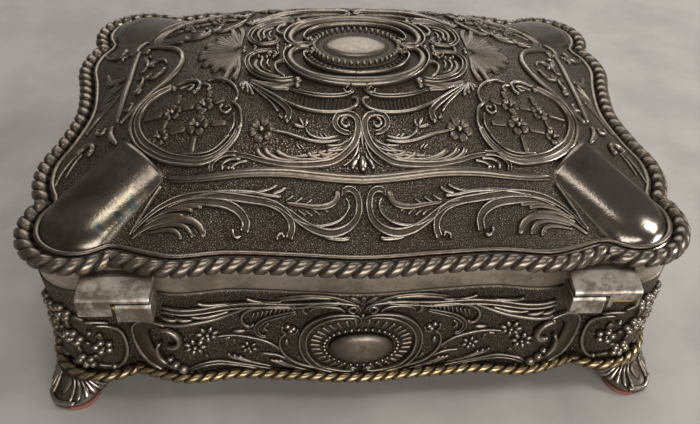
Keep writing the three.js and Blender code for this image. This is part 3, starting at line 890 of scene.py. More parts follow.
def middle_drops(bm, on):
    """The three drops between the tall scrolls, whole on each long side."""
    stroke(bm, on, [(0, 42.2), (0, 46.6)], 2.4, 1.4, (0.5, 1.1, 0.9))
    for side in (-1, 1):
        stroke(bm, on, [(1.2 * side, 42.9), (2.3 * side, 44.3), (3 * side, 46)], 1.6, 1.2,
               (0.6, 1, 1))
    stroke(bm, on, [(0, 33.6), (0, 36.6), (0, 40)], 1.2, 0.9, (0.6, 1, 0.4))


relief("lid_middle_drops", middle_drops, on_lid, "lid", "lid_shell", "Y")


# ---------------------------------------------------------------------------------------------
# Rope edges. Both are one bar with a cabled surface: slanting round strands cut by deep grooves,
# a stout one round the lid and a thinner, yellower one round the foot of the body.
gilt_relief = rubbed_relief("yellowed_silver_rope", Hollow=(0.045, 0.032, 0.018, 1),
                            Rubbed=(0.33, 0.25, 0.14, 1))


def strand_swell(step, per_strand):
    """How full a strand is at one of its steps, 0 to 1. It rises more steeply than it falls."""
    return math.sin(math.pi * (step % per_strand / per_strand) ** 0.75)


def rope(name, material, body, node, distance, z, radius, pitch, depth):
    """A cabled bar round the outline. Its grooves take a depth out of its radius, as a share."""
    path = [Vector(spot) for spot in offset_plan(full_plan(40, 40, 60), distance)]
    path.append(path[0])
    lengths = [0.0]
    for a, b in zip(path, path[1:]):
        lengths.append(lengths[-1] + (b - a).length)
    strands = round(lengths[-1] / pitch)
    per_strand, sides = 10, 14
    count = strands * per_strand

    def at(length):
        length %= lengths[-1]
        low, high = 0, len(path) - 1
        while high - low > 1:
            middle = (low + high) // 2
            low, high = (middle, high) if lengths[middle] <= length else (low, middle)
        span = lengths[low + 1] - lengths[low]
        a, b = path[low], path[low + 1]
        along = (b - a).normalized()
        return a.lerp(b, (length - lengths[low]) / span), Vector((along.y, -along.x))

    rings = []
    for side in range(sides):
        angle = -2 * math.pi * side / sides
        slant = pitch * 0.42 * math.sin(angle + math.radians(42))
        ring = []
        for step in range(count):
            place, outwards = at(step / count * lengths[-1] + slant)
            swell = strand_swell(step, per_strand)
            reach = radius * (1 - depth * (1 - swell) ** 2.2)
            spot = place - outwards * (reach * math.cos(angle))
            ring.append((spot.x, spot.y, z + reach * math.sin(angle)))
        rings.append(ring)
    bm = bmesh.new()
    ring_skin(bm, rings, True)
    lift = bm.verts.layers.float.new("lift")
    station = bm.verts.layers.int["station"]
    for vert in bm.verts:
        vert[lift] = 0.78 * strand_swell(vert[station], per_strand)
    finish_piece(name, bm, material, body, node)


# A plain half-round bead lies along the lid's shoulder, inside the rope.
BEAD_Z, BEAD_RADIUS = 55.5, 0.8
rings = []
for side in range(10):
    angle = -2 * math.pi * side / 10
    rings.append(flat_ring(SHOULDER_OFFSET - BEAD_RADIUS * math.cos(angle),
                           BEAD_Z + BEAD_RADIUS * math.sin(angle)))
bm = bmesh.new()
ring_skin(bm, rings, True)
lift = bm.verts.layers.float.new("lift")
for vert in bm.verts:
    vert[lift] = max(0.0, min(1.0, 0.35 + (vert.co.z / MM - BEAD_Z) / BEAD_RADIUS * 0.4))
finish_piece("lid_shoulder_bead", bm, silver_relief, "lid", "lid_shell")

rope("lid_rope_cabled", silver_relief, "lid", "lid_rope_rim",
     distance=0, z=54.5, radius=2.35, pitch=4.2, depth=0.42)
rope("body_rope_cabled", gilt_relief, "base", "body_rope_rim",
     distance=0.6, z=9.6, radius=1.65, pitch=3.6, depth=0.4)

# ---------------------------------------------------------------------------------------------
# Body. One cast wall all round, its serpentine sides slightly hollow from top to bottom, with
# the same punched ground as the lid.
BODY_TOP_Z, BODY_BOTTOM_Z = 43.95, 7.8
BODY_PROFILE = [(7.8, -1.3), (11.6, -1.3), (14.5, -0.7), (24, -1.3), (36, -1.5), (43.95, -1.2)]
INSIDE_TOP_OFFSET, INSIDE_BOTTOM_OFFSET = -2.8, -2.9


def body_offset(z):
    """How far the wall stands from the outline at a height."""
    for (z0, d0), (z1, d1) in zip(BODY_PROFILE, BODY_PROFILE[1:]):
        if z <= z1:
            return mix(d0, d1, (z - z0) / (z1 - z0))
    return BODY_PROFILE[-1][1]


heights = [mix(BODY_BOTTOM_Z, BODY_TOP_Z, step / 36) for step in range(37)]
rings = [flat_ring(body_offset(z), z) for z in heights]
rings += [flat_ring(INSIDE_TOP_OFFSET, BODY_TOP_Z), flat_ring(INSIDE_BOTTOM_OFFSET, BODY_BOTTOM_Z)]
bm = bmesh.new()
ring_skin(bm, rings, True)
ground = bm.verts.layers.float.new("ground")
lift = bm.verts.layers.float.new("lift")
for vert in bm.verts:
    vert[ground] = 1.0 if BODY_BOTTOM_Z + 1 < vert.co.z / MM < BODY_TOP_Z - 0.3 else 0.0
    vert[lift] = 0.0 if vert[ground] else 0.5
body_tree = BVHTree.FromBMesh(bm)
finish_piece("body_shell_cast", bm, silver_ground, "base", "body_shell")


# ---------------------------------------------------------------------------------------------
# Relief on the walls, cast in one with them. It is drawn in millimetres along the wall from its
# middle and up from the table, on half of one long wall and of one end, and mirrored.
def on_long_wall(u, z):
    return struck(body_tree, (u, 120, z), (0, -1, 0))


def on_end_wall(u, z):
    return struck(body_tree, (130, u, z), (-1, 0, 0))


DISH_Z = 22.1


def heart_frame(bm, on):
    """Half of the fluted dish and its heart-shaped frame."""
    frame_line = [(1.6, 32.6), (0.7, 33.4), (1.6, 35.2), (5, 35.6), (9.4, 34.6), (13.6, 31.6),
                  (16, 27.4), (16.6, 22.6), (15.4, 17.6), (12, 13.6), (7.4, 11.5), (3.2, 11),
                  (1.0, 12), (2, 13.2), (3.4, 12.8)]
    band(bm, on, frame_line, 2.3, 1.5, (0.5, 0.9, 1.1, 1.1, 1, 0.9, 0.6))
    for flute in range(17):
        angle = math.radians(-84 + 10.4 * flute)
        flute_line = [on_oval(angle, 11.6, 8.6, 0, DISH_Z), on_oval(angle, 15, 11.2, 0, 22.4)]
        stroke(bm, on, flute_line, 1.2, 0.5, (0.8, 1.1), tone=0.9)
    for bead in range(17):
        angle = math.radians(-85 + 10.6 * bead)
        knob(bm, on, *on_oval(angle, 10.6, 7.6, 0, DISH_Z), 0.62, 0.9)
    cap = [(2.2, 37.4), (1.5, 38.4), (2.4, 39.4), (3.8, 38.8), (3.6, 37.2), (2, 36.6)]
    stroke(bm, on, cap, 0.9, 1.0)
    stroke(bm, on, [(0.5, 37.4), (1.6, 39.8), (5, 40.7), (10, 40.8), (14, 39.8), (16.3, 37.8),
                    (16, 36), (14.9, 35.6)], 1.2, 1.1, (0.6, 1, 1, 0.9))
    stroke(bm, on, [(4.8, 36.9), (6.4, 38.6), (10, 38.9), (13.4, 38), (14.7, 36.6)], 0.9, 0.9)
    stroke(bm, on, [(0.6, 40.6), (2.4, 42.1), (4, 43)], 1.8, 0.9, (0.6, 1, 0.8), groove=0.3)
    stroke(bm, on, [(2, 40.2), (6, 42), (10, 42.9), (17, 42.6), (24, 41)], 1.6, 0.9,
           (0.4, 1, 1, 0.4), groove=0.3)
    stroke(bm, on, [(0, 10.4), (0.8, 9.6), (2.2, 9.4)], 1.2, 0.9)


def berries(bm, on):
    """The sprig of three berries beside the dish."""
    for x, z in ((20.8, 29.8), (19.2, 29.0), (20.0, 28.0)):
        knob(bm, on, x, z, 1.0, 1.2)
    stroke(bm, on, [(22.2, 30), (22.4, 28), (21, 26.6)], 0.7, 0.9)
    stroke(bm, on, [(17.9, 29), (18.6, 27.2), (20.4, 26.6)], 0.7, 0.9)
    stem = [(21.4, 26.6), (22.8, 25), (23.2, 21.6), (22, 18), (18.8, 14.6), (13, 11.8), (8, 10)]
    stroke(bm, on, stem, 1.0, 1.0, (0.7, 1, 1, 0.6))
    oval(bm, on, 21.3, 22.8, 0.8, 1.6, 0.9)
    stroke(bm, on, [(18.6, 17.6), (17.2, 15.4)], 1.1, 0.9, groove=0.5)


def notch_scroll(bm, on, shift):
    """The stout C-scroll that closes a side beside the notch."""
    def moved(points):
        return [(x - shift, z) for x, z in points]

    body = [(54.2, 29.6), (58.4, 30.2), (61.4, 27.6), (61.8, 23), (60.4, 17.6), (57.6, 13),
            (54.2, 10.8), (52, 11.6)]
    stroke(bm, on, moved(body), 5.6, 1.5, (0.5, 0.9, 1, 1, 0.8, 0.5),
           shift=-0.08, groove=0.35, tone=0.45)
    stroke(bm, on, moved(body), 1.1, 2.0, (0.8, 1, 1, 1, 0.8, 0.5), shift=-2.0)
    hook = [(56, 29.8), (52.8, 29), (51, 26.4), (51.6, 23.4), (53.6, 22.3), (54.6, 23.2)]
    stroke(bm, on, moved(hook), 2.0, 2.2, (0.8, 1, 1))
    stroke(bm, on, moved([(56.4, 23.8), (57.6, 20.4), (57, 17), (55.2, 15)]), 1.3, 2.2)
    for x, z, radius, height in ((54.4, 17.2, 1.1, 1.9), (53.2, 15.0, 1.4, 2.1),
                                 (51.4, 12.8, 1.9, 2.3)):
        knob(bm, on, x - shift, z, radius, height)


def wall_scrolls(bm, on):
    """Half of a long wall: the dish in its frame, leafy scrolls and star flowers."""
    heart_frame(bm, on)
    berries(bm, on)
    band(bm, on, [(54.4, 38), (50.5, 37.4), (44.4, 37.2), (38.3, 37.7), (30, 38.6), (20, 38.8),
                  (12, 40), (6, 41)], 2.5, 1.3, (1, 1, 1, 0.9, 0.5))
    stroke(bm, on, [(44.8, 40.6), (43.6, 39.6), (41, 38.9), (36, 38.8), (30, 39.2)], 1.3, 1.1,
           (1, 0.9, 0.5))
    stroke(bm, on, [(31.8, 41.2), (30.2, 40.2), (27, 39.6), (22, 40)], 1.2, 1.0, (1, 0.8, 0.5))
    stroke(bm, on, [(23, 40.4), (19.6, 41.3), (14, 42.4), (8.3, 42.4)], 1.6, 1.0, (0.5, 1, 0.7))
    for leaf in ([(55, 34.4), (53, 33.6), (50.6, 33.4)], [(51.6, 34.6), (49.6, 33.8), (46.4, 33.6)],
                 [(47.4, 35), (44.6, 34.3), (40.6, 34.6), (36.6, 35.6)]):
        stroke(bm, on, leaf, 1.7, 1.3, (0.5, 1, 0.5))
    stroke(bm, on, [(55.1, 31.4), (50.6, 31.6), (46.5, 32.2), (40.6, 33), (35.5, 35),
                    (31.4, 37.2)], 1.6, 1.2, (1, 1, 0.6))
    crest = [(30.2, 30.6), (31.2, 29.4), (32.8, 30.2), (33.5, 32.6), (32.4, 35.2), (29.4, 37.2),
             (24.3, 38.2), (18, 38)]
    stroke(bm, on, crest, 1.2, 1.2, (0.9, 1, 1, 0.6))
    for tooth in range(10):
        x = 30.6 - 1.25 * tooth
        z = 33.6 + 0.42 * tooth
        stroke(bm, on, [(x, z - 1.0), (x - 0.7, z + 1.4)], 0.7, 0.8)
    swoop = [(26.9, 25.2), (28.6, 25.6), (29.6, 28), (28.8, 30.6), (26, 33), (21.4, 34.9),
             (18.2, 36)]
    band(bm, on, swoop, 1.7, 1.1, (0.6, 1, 1, 0.6))
    stroke(bm, on, [(26.2, 27.4), (27.4, 29), (26, 31)], 0.8, 0.9)
    oval(bm, on, 34.6, 27.1, 2.3, 0.9, 0.9)
    flower(bm, on, 43.4, 26.8, 3.4, 7, 0.2, 1.1, True)
    flower(bm, on, 47.2, 22.2, 3.4, 7, 0.5, 1.2, True)
    flower(bm, on, 32.2, 20.2, 2.7, 6, 0.3, 1.0, True)
    stroke(bm, on, [(41.2, 25.6), (36.2, 25.6), (31.4, 24.7), (26.6, 22.9), (23.2, 20)], 1.0,
           1.0, (0.7, 1, 0.9))
    stroke(bm, on, [(36.4, 23.8), (35.8, 21.4)], 1.0, 0.8, groove=0.4)
    stroke(bm, on, [(39.4, 24.2), (37, 24.7)], 1.0, 0.8)
    stroke(bm, on, [(44.8, 18.6), (43.8, 17)], 1.1, 0.8, groove=0.4)
    stroke(bm, on, [(29, 18), (24.4, 17.6), (21.4, 16)], 0.9, 0.9)
    for shift in (0, 1.6, 3.2):
        stroke(bm, on, [(38.4 - shift, 18.4 - shift * 0.4), (37.4 - shift, 16.6 - shift * 0.3),
                        (34 - shift, 14.8 - shift * 0.35), (29 - shift, 12.8 - shift * 0.4)],
               1.2, 1.1, (1, 0.8, 0.4))
    for shift in (0, 1.3, 2.6):
        stroke(bm, on, [(26.4 - shift, 15.6), (24.6 - shift, 14.6 - shift * 0.2),
                        (21 - shift, 12 - shift * 0.2), (16 - shift, 9.8)], 1.0, 1.0,
               (1, 0.9, 0.4))
    band(bm, on, [(50.6, 10.4), (49.6, 12.6), (46.4, 14.6), (41.6, 15.1), (36.4, 13.4),
                  (29.6, 11), (22, 9.4), (13, 8.9)], 1.7, 1.1, (0.8, 1, 1, 0.8, 0.4))
    knob(bm, on, 47.4, 10.2, 0.9)
    knob(bm, on, 49.6, 9.9, 1.0)
    notch_scroll(bm, on, 0)


relief("wall_long_scrolls", wall_scrolls, on_long_wall, "base", "body_shell")


def wall_plate(bm, on):
    """The smooth domed plate in the dish, and the two drops above it."""
    oval(bm, on, 0, 22.1, 9.4, 6.1, 2.6, 0.8, tone=0.85, sides=48)
    stroke(bm, on, [(0, 41), (0, 43.4)], 2.0, 0.9, (0.6, 1), groove=0.3)
    stroke(bm, on, [(0, 34.2), (0, 36.4)], 1.3, 0.9)


relief("wall_long_plates", wall_plate, on_long_wall, "base", "body_shell", "Y")


def end_wall_scrolls(bm, on):
    """Half of an end: the same dish and frame, with shorter scrolls."""
    heart_frame(bm, on)
    notch_scroll(bm, on, 22.6)
    stroke(bm, on, [(34, 37.6), (28, 37.8), (22, 38.6), (14, 40.4), (6, 41.2)], 1.6, 1.1,
           (1, 1, 0.5), groove=0.3)
    stroke(bm, on, [(32, 34.4), (27, 34), (22, 35), (18, 36.4)], 1.1, 1.0, (0.6, 1, 0.6))
    flower(bm, on, 24.4, 29.2, 3.0, 7, 0.2, 1.1, True)
    flower(bm, on, 22.8, 21.4, 2.8, 7, 0.5, 1.1, True)
    stroke(bm, on, [(22.8, 18), (21.6, 14.8), (17.4, 11.6), (11, 9.4)], 1.1, 1.0, (1, 1, 0.5))
    stroke(bm, on, [(27.4, 12), (23.6, 12), (18, 10.2), (11.6, 9)], 1.3, 1.1, (1, 1, 0.4))
    stroke(bm, on, [(26.6, 24.6), (28.4, 22), (28, 18.4)], 1.1, 0.9)


relief("wall_end_scrolls", end_wall_scrolls, on_end_wall, "base", "body_shell")
relief("wall_end_plates", wall_plate, on_end_wall, "base", "body_shell", "X")

PILLAR_MIDDLE = math.radians(46)
PILLAR_RADIUS = 13.8


def on_pillar(u, z):
    """The corner pillar's surface, u millimetres round from its middle."""
    angle = PILLAR_MIDDLE + u / PILLAR_RADIUS
    out = Vector((math.cos(angle), math.sin(angle), 0))
    return struck(body_tree, Vector((EAR_X, EAR_Y, z)) + out * 30, -out)


def pillar_flowers(bm, on):
    """Half of the flowered lattice on a corner."""
    border = [(11.4, 30.4), (14.4, 29.8), (17.4, 27), (18.4, 22), (17.8, 16.4), (15.4, 12.4),
              (12.6, 11)]
    stroke(bm, on, border, 1.5, 1.3, (0.6, 1, 1, 0.7))
    stroke(bm, on, [(9, 32), (12.6, 31.8), (15.6, 30.6)], 1.0, 1.0)
    blossom(bm, on, 3.2, 34.4, 3.2, 0.3, 1.8)
    blossom(bm, on, 4.8, 24.8, 3.3, 0.1, 1.9)
    blossom(bm, on, 12.4, 21.6, 3.1, 0.5, 1.7)
    blossom(bm, on, 7.0, 15.6, 3.1, 0.7, 1.8)
    for stick in (((3.4, 31.2), (4, 28)), ((7.6, 23.6), (9.4, 22.6)), ((10.6, 18.4), (8.8, 17.2)),
                  ((5, 21.4), (6, 18.6)), ((9.6, 14.4), (13.6, 12.6)), ((12.6, 24.6), (12, 27.4)),
                  ((6, 34), (9.6, 32.6)), ((4.6, 13.4), (1.2, 11.6)), ((1.6, 26.2), (0, 27.4))):
        stroke(bm, on, stick, 1.7, 1.4, groove=0.35)
    knob(bm, on, 13.8, 12.4, 1.1, 1.4)
    knob(bm, on, 9.8, 27.6, 0.9, 1.3)
    knob(bm, on, 0.4, 22.4, 1.0, 1.4)


def corner_lattice(bm, on):
    """The flowered lattice of a corner, both halves with the bead at its top."""
    pillar_flowers(bm, on)
    pillar_flowers(bm, lambda u, z: on(-u, z))
    knob(bm, on, 0, 29.6, 1.2, 1.5)


relief("wall_corner_flowers", corner_lattice, on_pillar, "base", "body_shell")

# ---------------------------------------------------------------------------------------------
# Feet. Four cast leaves that flare out from under the corners and turn up at their tips, each
# with a disc of thin red felt glued under its sole.

# Each section of a leaf: its height, how far its middle stands out in x and y, and its radius.
FOOT_SECTIONS = [(1.3, 9.9, 13.3, 7.2), (1.9, 9.7, 12.9, 7.5), (3.2, 8.4, 10.4, 7.8),
                 (5.2, 6.8, 7.2, 8.8), (7.6, 5.4, 4.6, 10.0)]
LEAF_HEADING, LEAF_RADIUS = math.radians(55), 7


def foot_section(z):
    """The section of a foot at a height."""
    for low, high in zip(FOOT_SECTIONS, FOOT_SECTIONS[1:]):
        if z <= high[0]:
            part = (z - low[0]) / (high[0] - low[0])
            return [mix(a, b, max(part, 0)) for a, b in zip(low, high)]
    return list(FOOT_SECTIONS[-1])


def foot_leaf(name, sx, sy, node):
    """A ribbed leaf under one corner, with a rim along its sole and beads on its edges."""
    bm = bmesh.new()
    rings = []
    for step in range(15):
        z = mix(FOOT_SECTIONS[0][0], FOOT_SECTIONS[-1][0], step / 14)
        _, out_x, out_y, radius = foot_section(z)
        ring = []
        for spoke in range(64):
            angle = 2 * math.pi * spoke / 64
            outwards = max(0.0, math.cos(angle - LEAF_HEADING))
            ribs = 1 + 0.03 * outwards * (1 - (step / 14) ** 2) * math.cos(7 * angle)
            sole = 0.93 if step == 0 else 1.0
            reach = radius * ribs * sole
            ring.append((*on_oval(angle, reach, reach, EAR_X + out_x, EAR_Y + out_y), z))
        rings.append(ring)
    ring_skin(bm, rings, False)
    tree = BVHTree.FromBMesh(bm)
    lift = bm.verts.layers.float.new("lift")
    for vert in bm.verts:
        vert[lift] = 0.35

    def on_foot(u, z):
        _, out_x, out_y, _ = foot_section(z)
        angle = LEAF_HEADING + u / LEAF_RADIUS
        out = Vector((math.cos(angle), math.sin(angle), 0))
        hub = Vector((EAR_X + out_x, EAR_Y + out_y, z))
        found, normal = struck(tree, hub + out * 2 * LEAF_RADIUS, -out)
        if found is None:
            return (hub + out * LEAF_RADIUS) * MM, out
        return found, normal

    stroke(bm, on_foot, [(-5, 2.2), (0, 1.9), (5, 2.2)], 1.1, 1.0)
    stroke(bm, on_foot, [(0, 7.4), (0, 5.2), (0, 3)], 3.4, 0.5, (1, 1, 0.6), tone=0.6)
    for side in (-1, 1):
        for rib in range(6):
            stroke(bm, on_foot, [(side * (1.8 + 0.7 * rib), 7.4), (side * (2.6 + 1.3 * rib), 4.8),
                                 (side * (3.4 + 2.0 * rib), 2.2 + 0.3 * rib)], 1.1, 1.0,
                   (0.5, 0.9, 1.1))
        for x, z, radius in ((12.6, 6.6, 1.3), (14.6, 5.4, 1.4), (15.8, 3.9, 1.2)):
            knob(bm, on_foot, side * x, z, radius, 1.5)
    bmesh.ops.scale(bm, vec=(sx, sy, 1), verts=bm.verts)
    bmesh.ops.recalc_face_normals(bm, faces=bm.faces)
    finish_piece(name, bm, silver_relief, "base", node)


felt, tree, shader, coords = new_material("pressed_felt")
fibres = noise_node(tree, coords, 1500, 5, 0.7)
felt_color = mix_color(tree, fibres, (0.17, 0.062, 0.038, 1), (0.27, 0.105, 0.066, 1))
tree.links.new(felt_color, shader.inputs["Base Color"])
shader.inputs["Roughness"].default_value = 0.95
tree.links.new(bump_node(tree, fibres, 0.0003), shader.inputs["Normal"])

for end_name, sy in (("front", 1), ("rear", -1)):
    for side_name, sx in (("left", -1), ("right", 1)):
        corner = f"{end_name}_{side_name}"
        foot_leaf(f"foot_leaf_{corner}", sx, sy, f"foot_{corner}")
        low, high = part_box(f"foot_pad_{corner}")
        middle = (Vector(low) + Vector(high)) / 2
        radius = (high[0] - low[0]) / 2
        bm = bmesh.new()
        bmesh.ops.create_cone(bm, cap_ends=True, segments=40, radius1=radius, radius2=radius * 0.97,
                              depth=high[2] - low[2], matrix=Matrix.Translation(middle))
        rims = [edge for edge in bm.edges
                if len({abs(face.normal.z) > 0.9 for face in edge.link_faces}) == 2]
        bmesh.ops.bevel(bm, geom=rims, offset=0.25 * MM, affect="EDGES", segments=2, profile=0.5,
                        material=-1)
        finish_piece(f"foot_felt_{corner}", bm, felt, "base", f"foot_pad_{corner}",
                     smooth=False)

# ---------------------------------------------------------------------------------------------
# Hinges. Two pairs of cast blocks on the rear wall, filed flat and left plain; the lid's block
# has a roof over the body's, and a brass pin runs through both.
worn_silver = plain_metal("worn_silver", (0.19, 0.16, 0.125, 1), (0.60, 0.55, 0.49, 1),
                          rough=0.36, mottle=150)
brass = plain_metal("drawn_brass", (0.4, 0.26, 0.09, 1), (0.66, 0.48, 0.2, 1),
                    rough=0.28, mottle=90)
PIN_RADIUS = 1.0
BODY_BLOCK_X, BODY_BLOCK_WIDTH = 54.5, 9.1
# Along x, where the roof over the body's block begins and ends, then a cheek, the window of the
# right-hand block and a cheek.
ROOF_X = (54.6, 64.4, 65.6, 72.2, 73.0)
# How far the block comes down from its roof, how much of that is left above its window, and how
# far back the window goes.
LEG_DROP, WINDOW_HEAD, WINDOW_BACK_Y = 4.6, 1.9, -72.6
# Sections as (y, z) points.
BODY_BLOCK = [(-67.3, 42.6), (-67.3, 48.2), (-69.0, 48.6), (-74.8, 48.6), (-75.3, 47.8),
              (-75.3, 42.6)]
ROOF = [(-65.2, 49.5), (-65.2, 51.6), (-68, 51.8), (-74.8, 51.0), (-75.3, 50.4), (-75.3, 49.5)]


def break_edges(bm, edge):
    """Files a small round on every edge where two faces meet at an angle."""
    bmesh.ops.recalc_face_normals(bm, faces=bm.faces)
    sharp = [line for line in bm.edges if line.calc_face_angle(0) > 0.3]
    bmesh.ops.bevel(bm, geom=sharp, offset=edge * MM, affect="EDGES", segments=2, profile=0.5,
                    material=-1)


def pull(bm, faces, vec):
    """Extrudes faces by a distance in millimetres and gives back the faces that moved."""
    grown = bmesh.ops.extrude_face_region(bm, geom=faces)["geom"]
    moved = [part for part in grown if isinstance(part, bmesh.types.BMVert)]
    bmesh.ops.translate(bm, vec=Vector(vec) * MM, verts=moved)
    return [part for part in grown if isinstance(part, bmesh.types.BMFace)]


def section_face(bm, section, x):
    """One flat face of a section, standing at x."""
    return [bm.faces.new([bm.verts.new(Vector((x, y, z)) * MM) for y, z in section])]


def finish_block(name, bm, side, edge, body, node):
    """Files the edges of a block drawn for the right and puts it on its side."""
    break_edges(bm, edge)
    bmesh.ops.scale(bm, vec=(side, 1, 1), verts=bm.verts)
    bmesh.ops.recalc_face_normals(bm, faces=bm.faces)
    finish_piece(name, bm, worn_silver, body, node, smooth=False)


for side_name, side in (("left", -1), ("right", 1)):
    bm = bmesh.new()
    pull(bm, section_face(bm, BODY_BLOCK, BODY_BLOCK_X), (BODY_BLOCK_WIDTH, 0, 0))
    finish_block(f"hinge_body_block_{side_name}", bm, side, 0.25, "base",
                 f"hinge_body_knuckle_{side_name}")

    bm = bmesh.new()
    roof_end = section_face(bm, ROOF, ROOF_X[0])
    for start, end in zip(ROOF_X, ROOF_X[1:]):
        roof_end = pull(bm, roof_end, (end - start, 0, 0))
    bm.faces.ensure_lookup_table()
    under = [face for face in bm.faces if abs(face.normal.z) > 0.9
             and face.calc_center_median().x > ROOF_X[1] * MM
             and face.calc_center_median().z < 49.6 * MM]
    if side > 0:
        under = pull(bm, under, (0, 0, -WINDOW_HEAD))
        window = [face for face in under
                  if ROOF_X[2] < face.calc_center_median().x / MM < ROOF_X[3]]
        cheeks = [face for face in under if face not in window]
        pull(bm, cheeks, (0, 0, WINDOW_HEAD - LEG_DROP))
        back_y = WINDOW_BACK_Y * MM
        behind = bmesh.ops.bisect_plane(bm, geom=window + list(window[0].edges),
                                        plane_co=(0, back_y, 0), plane_no=(0, 1, 0))["geom"]
        pull(bm, [part for part in behind if isinstance(part, bmesh.types.BMFace)
                  and part.calc_center_median().y > back_y], (0, 0, WINDOW_HEAD - LEG_DROP))
    else:
        pull(bm, under, (0, 0, -LEG_DROP))
    bmesh.ops.remove_doubles(bm, verts=bm.verts, dist=0.01 * MM)
    finish_block(f"hinge_lid_block_{side_name}", bm, side, 0.2, "lid",
                 f"hinge_lid_knuckle_{side_name}")

    low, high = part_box(f"hinge_pin_{side_name}")
    bm = bmesh.new()
    along_x = Matrix.Rotation(math.pi / 2, 4, "Y")
    middle = Matrix.Translation((Vector(low) + Vector(high)) / 2)
    bmesh.ops.create_cone(bm, cap_ends=True, segments=24, radius1=PIN_RADIUS * MM,
                          radius2=PIN_RADIUS * MM, depth=high[0] - low[0], matrix=middle @ along_x)
    finish_piece(f"hinge_pin_drawn_{side_name}", bm, brass, "base", f"hinge_pin_{side_name}",
                 smooth=False)

# ---------------------------------------------------------------------------------------------
# Bottom plate. A thin plate with eased edges, in the same worn silver as the hinges, soldered
# inside the foot of the wall.
PLATE_EDGE = [(-3.7, 7.8), (-3.4, 8.1), (-3.4, 8.9), (-3.7, 9.2)]
bm = bmesh.new()
ring_skin(bm, [flat_ring(distance, z) for distance, z in PLATE_EDGE], False)
finish_piece("bottom_plate_soldered", bm, worn_silver, "base", "bottom_plate")

# ---------------------------------------------------------------------------------------------
# Linings. Short red velvet over card and a little wadding: a band round the inside of the wall,
# a pad on the floor and another in the lid, all glued in.
velvet, tree, shader, coords = new_material("red_velvet")
pile = noise_node(tree, coords, 2600, 3, 0.6)
brushed = noise_node(tree, coords, 38, 3, 0.5)
pile_color = mix_color(tree, pile, (0.07, 0.004, 0.01, 1), (0.17, 0.012, 0.024, 1))
brushed_share = ramp_node(tree, brushed, 0.35, 0.65, 0, 0.45)
velvet_color = mix_color(tree, brushed_share, pile_color, (0.20, 0.018, 0.03, 1))
tree.links.new(velvet_color, shader.inputs["Base Color"])
shader.inputs["Roughness"].default_value = 0.9
shader.inputs["Sheen Weight"].default_value = 0.35
shader.inputs["Sheen Roughness"].default_value = 0.4
shader.inputs["Sheen Tint"].default_value = (0.9, 0.35, 0.4, 1)
tree.links.new(bump_node(tree, pile, 0.00025), shader.inputs["Normal"])


def soft_ring(distance, z, ripple=0.0):
    """A ring of a padded edge, with the slight unevenness of wadding under cloth."""
    ring = []
    for x, y, z in flat_ring(distance, z):
        push = ripple * noise.noise(Vector((x, y, z)) * 0.09)
        ring.append((x * (1 - push / 90), y * (1 - push / 70), z))
    return ring


bm = bmesh.new()
ring_skin(bm, [flat_ring(-3.5, 9.7), flat_ring(-3.5, 42.1), soft_ring(-3.8, 42.4),
               soft_ring(-4.3, 42.3), soft_ring(-4.7, 41.8, 0.3)]
          + [soft_ring(-4.8, z, 0.5) for z in (38, 34, 30, 26, 22, 18, 14)]
          + [soft_ring(-4.75, 10.2), soft_ring(-4.4, 9.6)], True)
piece = finish_piece("wall_velvet", bm, velvet, "base", "wall_lining")


def velvet_pad(name, distance, edge_z, face_z, crown, body, node):
    """A glued pad: flat behind, its soft face rising from the rolled edge to the middle."""
    bm = bmesh.new()
    toward = 1 if face_z > edge_z else -1
    rings = [flat_ring(distance - 0.6, edge_z), flat_ring(distance, edge_z + 0.5 * toward),
             flat_ring(distance, mix(edge_z, face_z, 0.6)),
             flat_ring(distance - 0.4, mix(edge_z, face_z, 0.85)),
             flat_ring(distance - 1.2, face_z)]
    rim = offset_plan(PLAN, distance - 1.2)
    for share in (0.96, 0.9, 0.82, 0.72, 0.6, 0.48, 0.36, 0.24, 0.12, 0.05):
        ring = []
        for x, y in rim:
            wadding = 0.35 * noise.noise(Vector((x * share, y * share, edge_z)) * 0.05)
            rise = crown * (1 - share ** 3) + wadding * (1 - share)
            ring.append((x * share, y * share, face_z + toward * rise))
        rings.append(ring)
    ring_skin(bm, rings, False)
    piece = finish_piece(name, bm, velvet, body, node)


velvet_pad("floor_velvet", -5.1, 9.5, 11.8, 0.7, "base", "floor_lining")
velvet_pad("lid_velvet", -5.8, 52.6, 50.2, 1.0, "lid", "lid_lining")

# ---------------------------------------------------------------------------------------------
# Floor, lights and camera. A pale table, a window low on one side, a wide one behind the box and
# the soft light of a room.
bm = bmesh.new()
bmesh.ops.create_grid(bm, x_segments=1, y_segments=1, size=3.0)
mesh = bpy.data.meshes.new("floor")
bm.to_mesh(mesh)
bm.free()
floor = bpy.data.objects.new("floor", mesh)
bpy.context.scene.collection.objects.link(floor)
material, tree, shader, coords = new_material("pale_floor")
mottle = noise_node(tree, coords, 26, 4, 0.6)
floor_color = mix_color(tree, ramp_node(tree, mottle, 0.35, 0.65), (0.31, 0.29, 0.275, 1),
                        (0.37, 0.35, 0.33, 1))
tree.links.new(floor_color, shader.inputs["Base Color"])
shader.inputs["Roughness"].default_value = 0.6
mesh.materials.append(material)


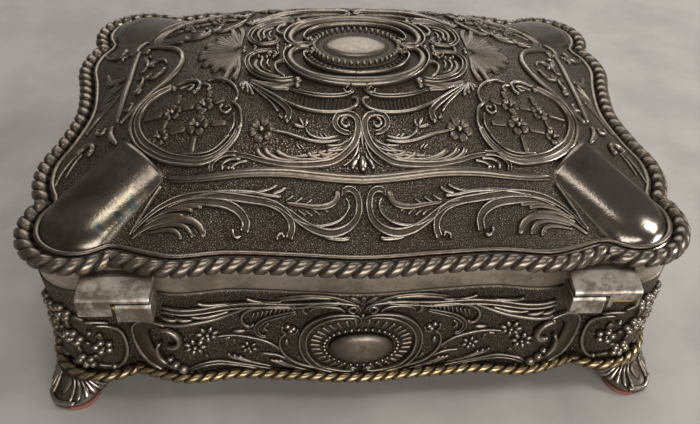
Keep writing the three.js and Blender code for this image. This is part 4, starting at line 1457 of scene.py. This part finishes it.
def area_light(name, place, aim, size, power, color):
    light = bpy.data.lights.new(name, "AREA")
    light.shape = "RECTANGLE"
    light.size, light.size_y = size
    light.energy = power
    light.color = color
    lamp = bpy.data.objects.new(name, light)
    lamp.location = place
    lamp.rotation_euler = (Vector(aim) - Vector(place)).to_track_quat("-Z", "Y").to_euler()
    bpy.context.scene.collection.objects.link(lamp)


area_light("window", (0.72, -0.06, 0.44), (0, 0, 0.05), (0.18, 0.28), 4.0, (1.0, 0.98, 0.95))
area_light("far_window", (0.12, 0.85, 0.56), (0, 0, 0.06), (1.2, 0.5), 4.0, (1.0, 0.98, 0.95))
area_light("room", (0.3, -1.25, 0.46), (0, 0, 0.03), (1.2, 0.6), 15, (1.0, 0.97, 0.93))
area_light("ceiling", (0.0, -0.05, 0.9), (0, 0, 0.05), (0.4, 0.4), 2.2, (1.0, 0.97, 0.93))

world = bpy.data.worlds.new("studio")
world.use_nodes = True
world.node_tree.nodes["Background"].inputs["Color"].default_value = (0.60, 0.58, 0.56, 1)
world.node_tree.nodes["Background"].inputs["Strength"].default_value = 0.35
bpy.context.scene.world = world

CAMERA_PLACE = Vector((-13.73, -202.5, 191.46)) * MM
YAW, PITCH, ROLL = math.radians(5.77), math.radians(41.97), math.radians(3.32)
forward = Vector((math.sin(YAW) * math.cos(PITCH), math.cos(YAW) * math.cos(PITCH),
                  -math.sin(PITCH)))
right = Vector((math.cos(YAW), -math.sin(YAW), 0))
up = right.cross(forward)
turned_right = right * math.cos(ROLL) + up * math.sin(ROLL)
turned_up = up * math.cos(ROLL) - right * math.sin(ROLL)
lens = bpy.data.cameras.new("camera")
lens.sensor_width = 36
lens.lens = 38.16
lens.shift_x, lens.shift_y = -0.0253, 0.0144
lens.clip_start = 0.01
camera = bpy.data.objects.new("camera", lens)
camera.matrix_world = Matrix.Translation(CAMERA_PLACE) @ Matrix(
    (turned_right, turned_up, -forward)).transposed().to_4x4()
bpy.context.scene.collection.objects.link(camera)
bpy.context.scene.camera = camera
bpy.context.scene.view_settings.view_transform = "Standard"
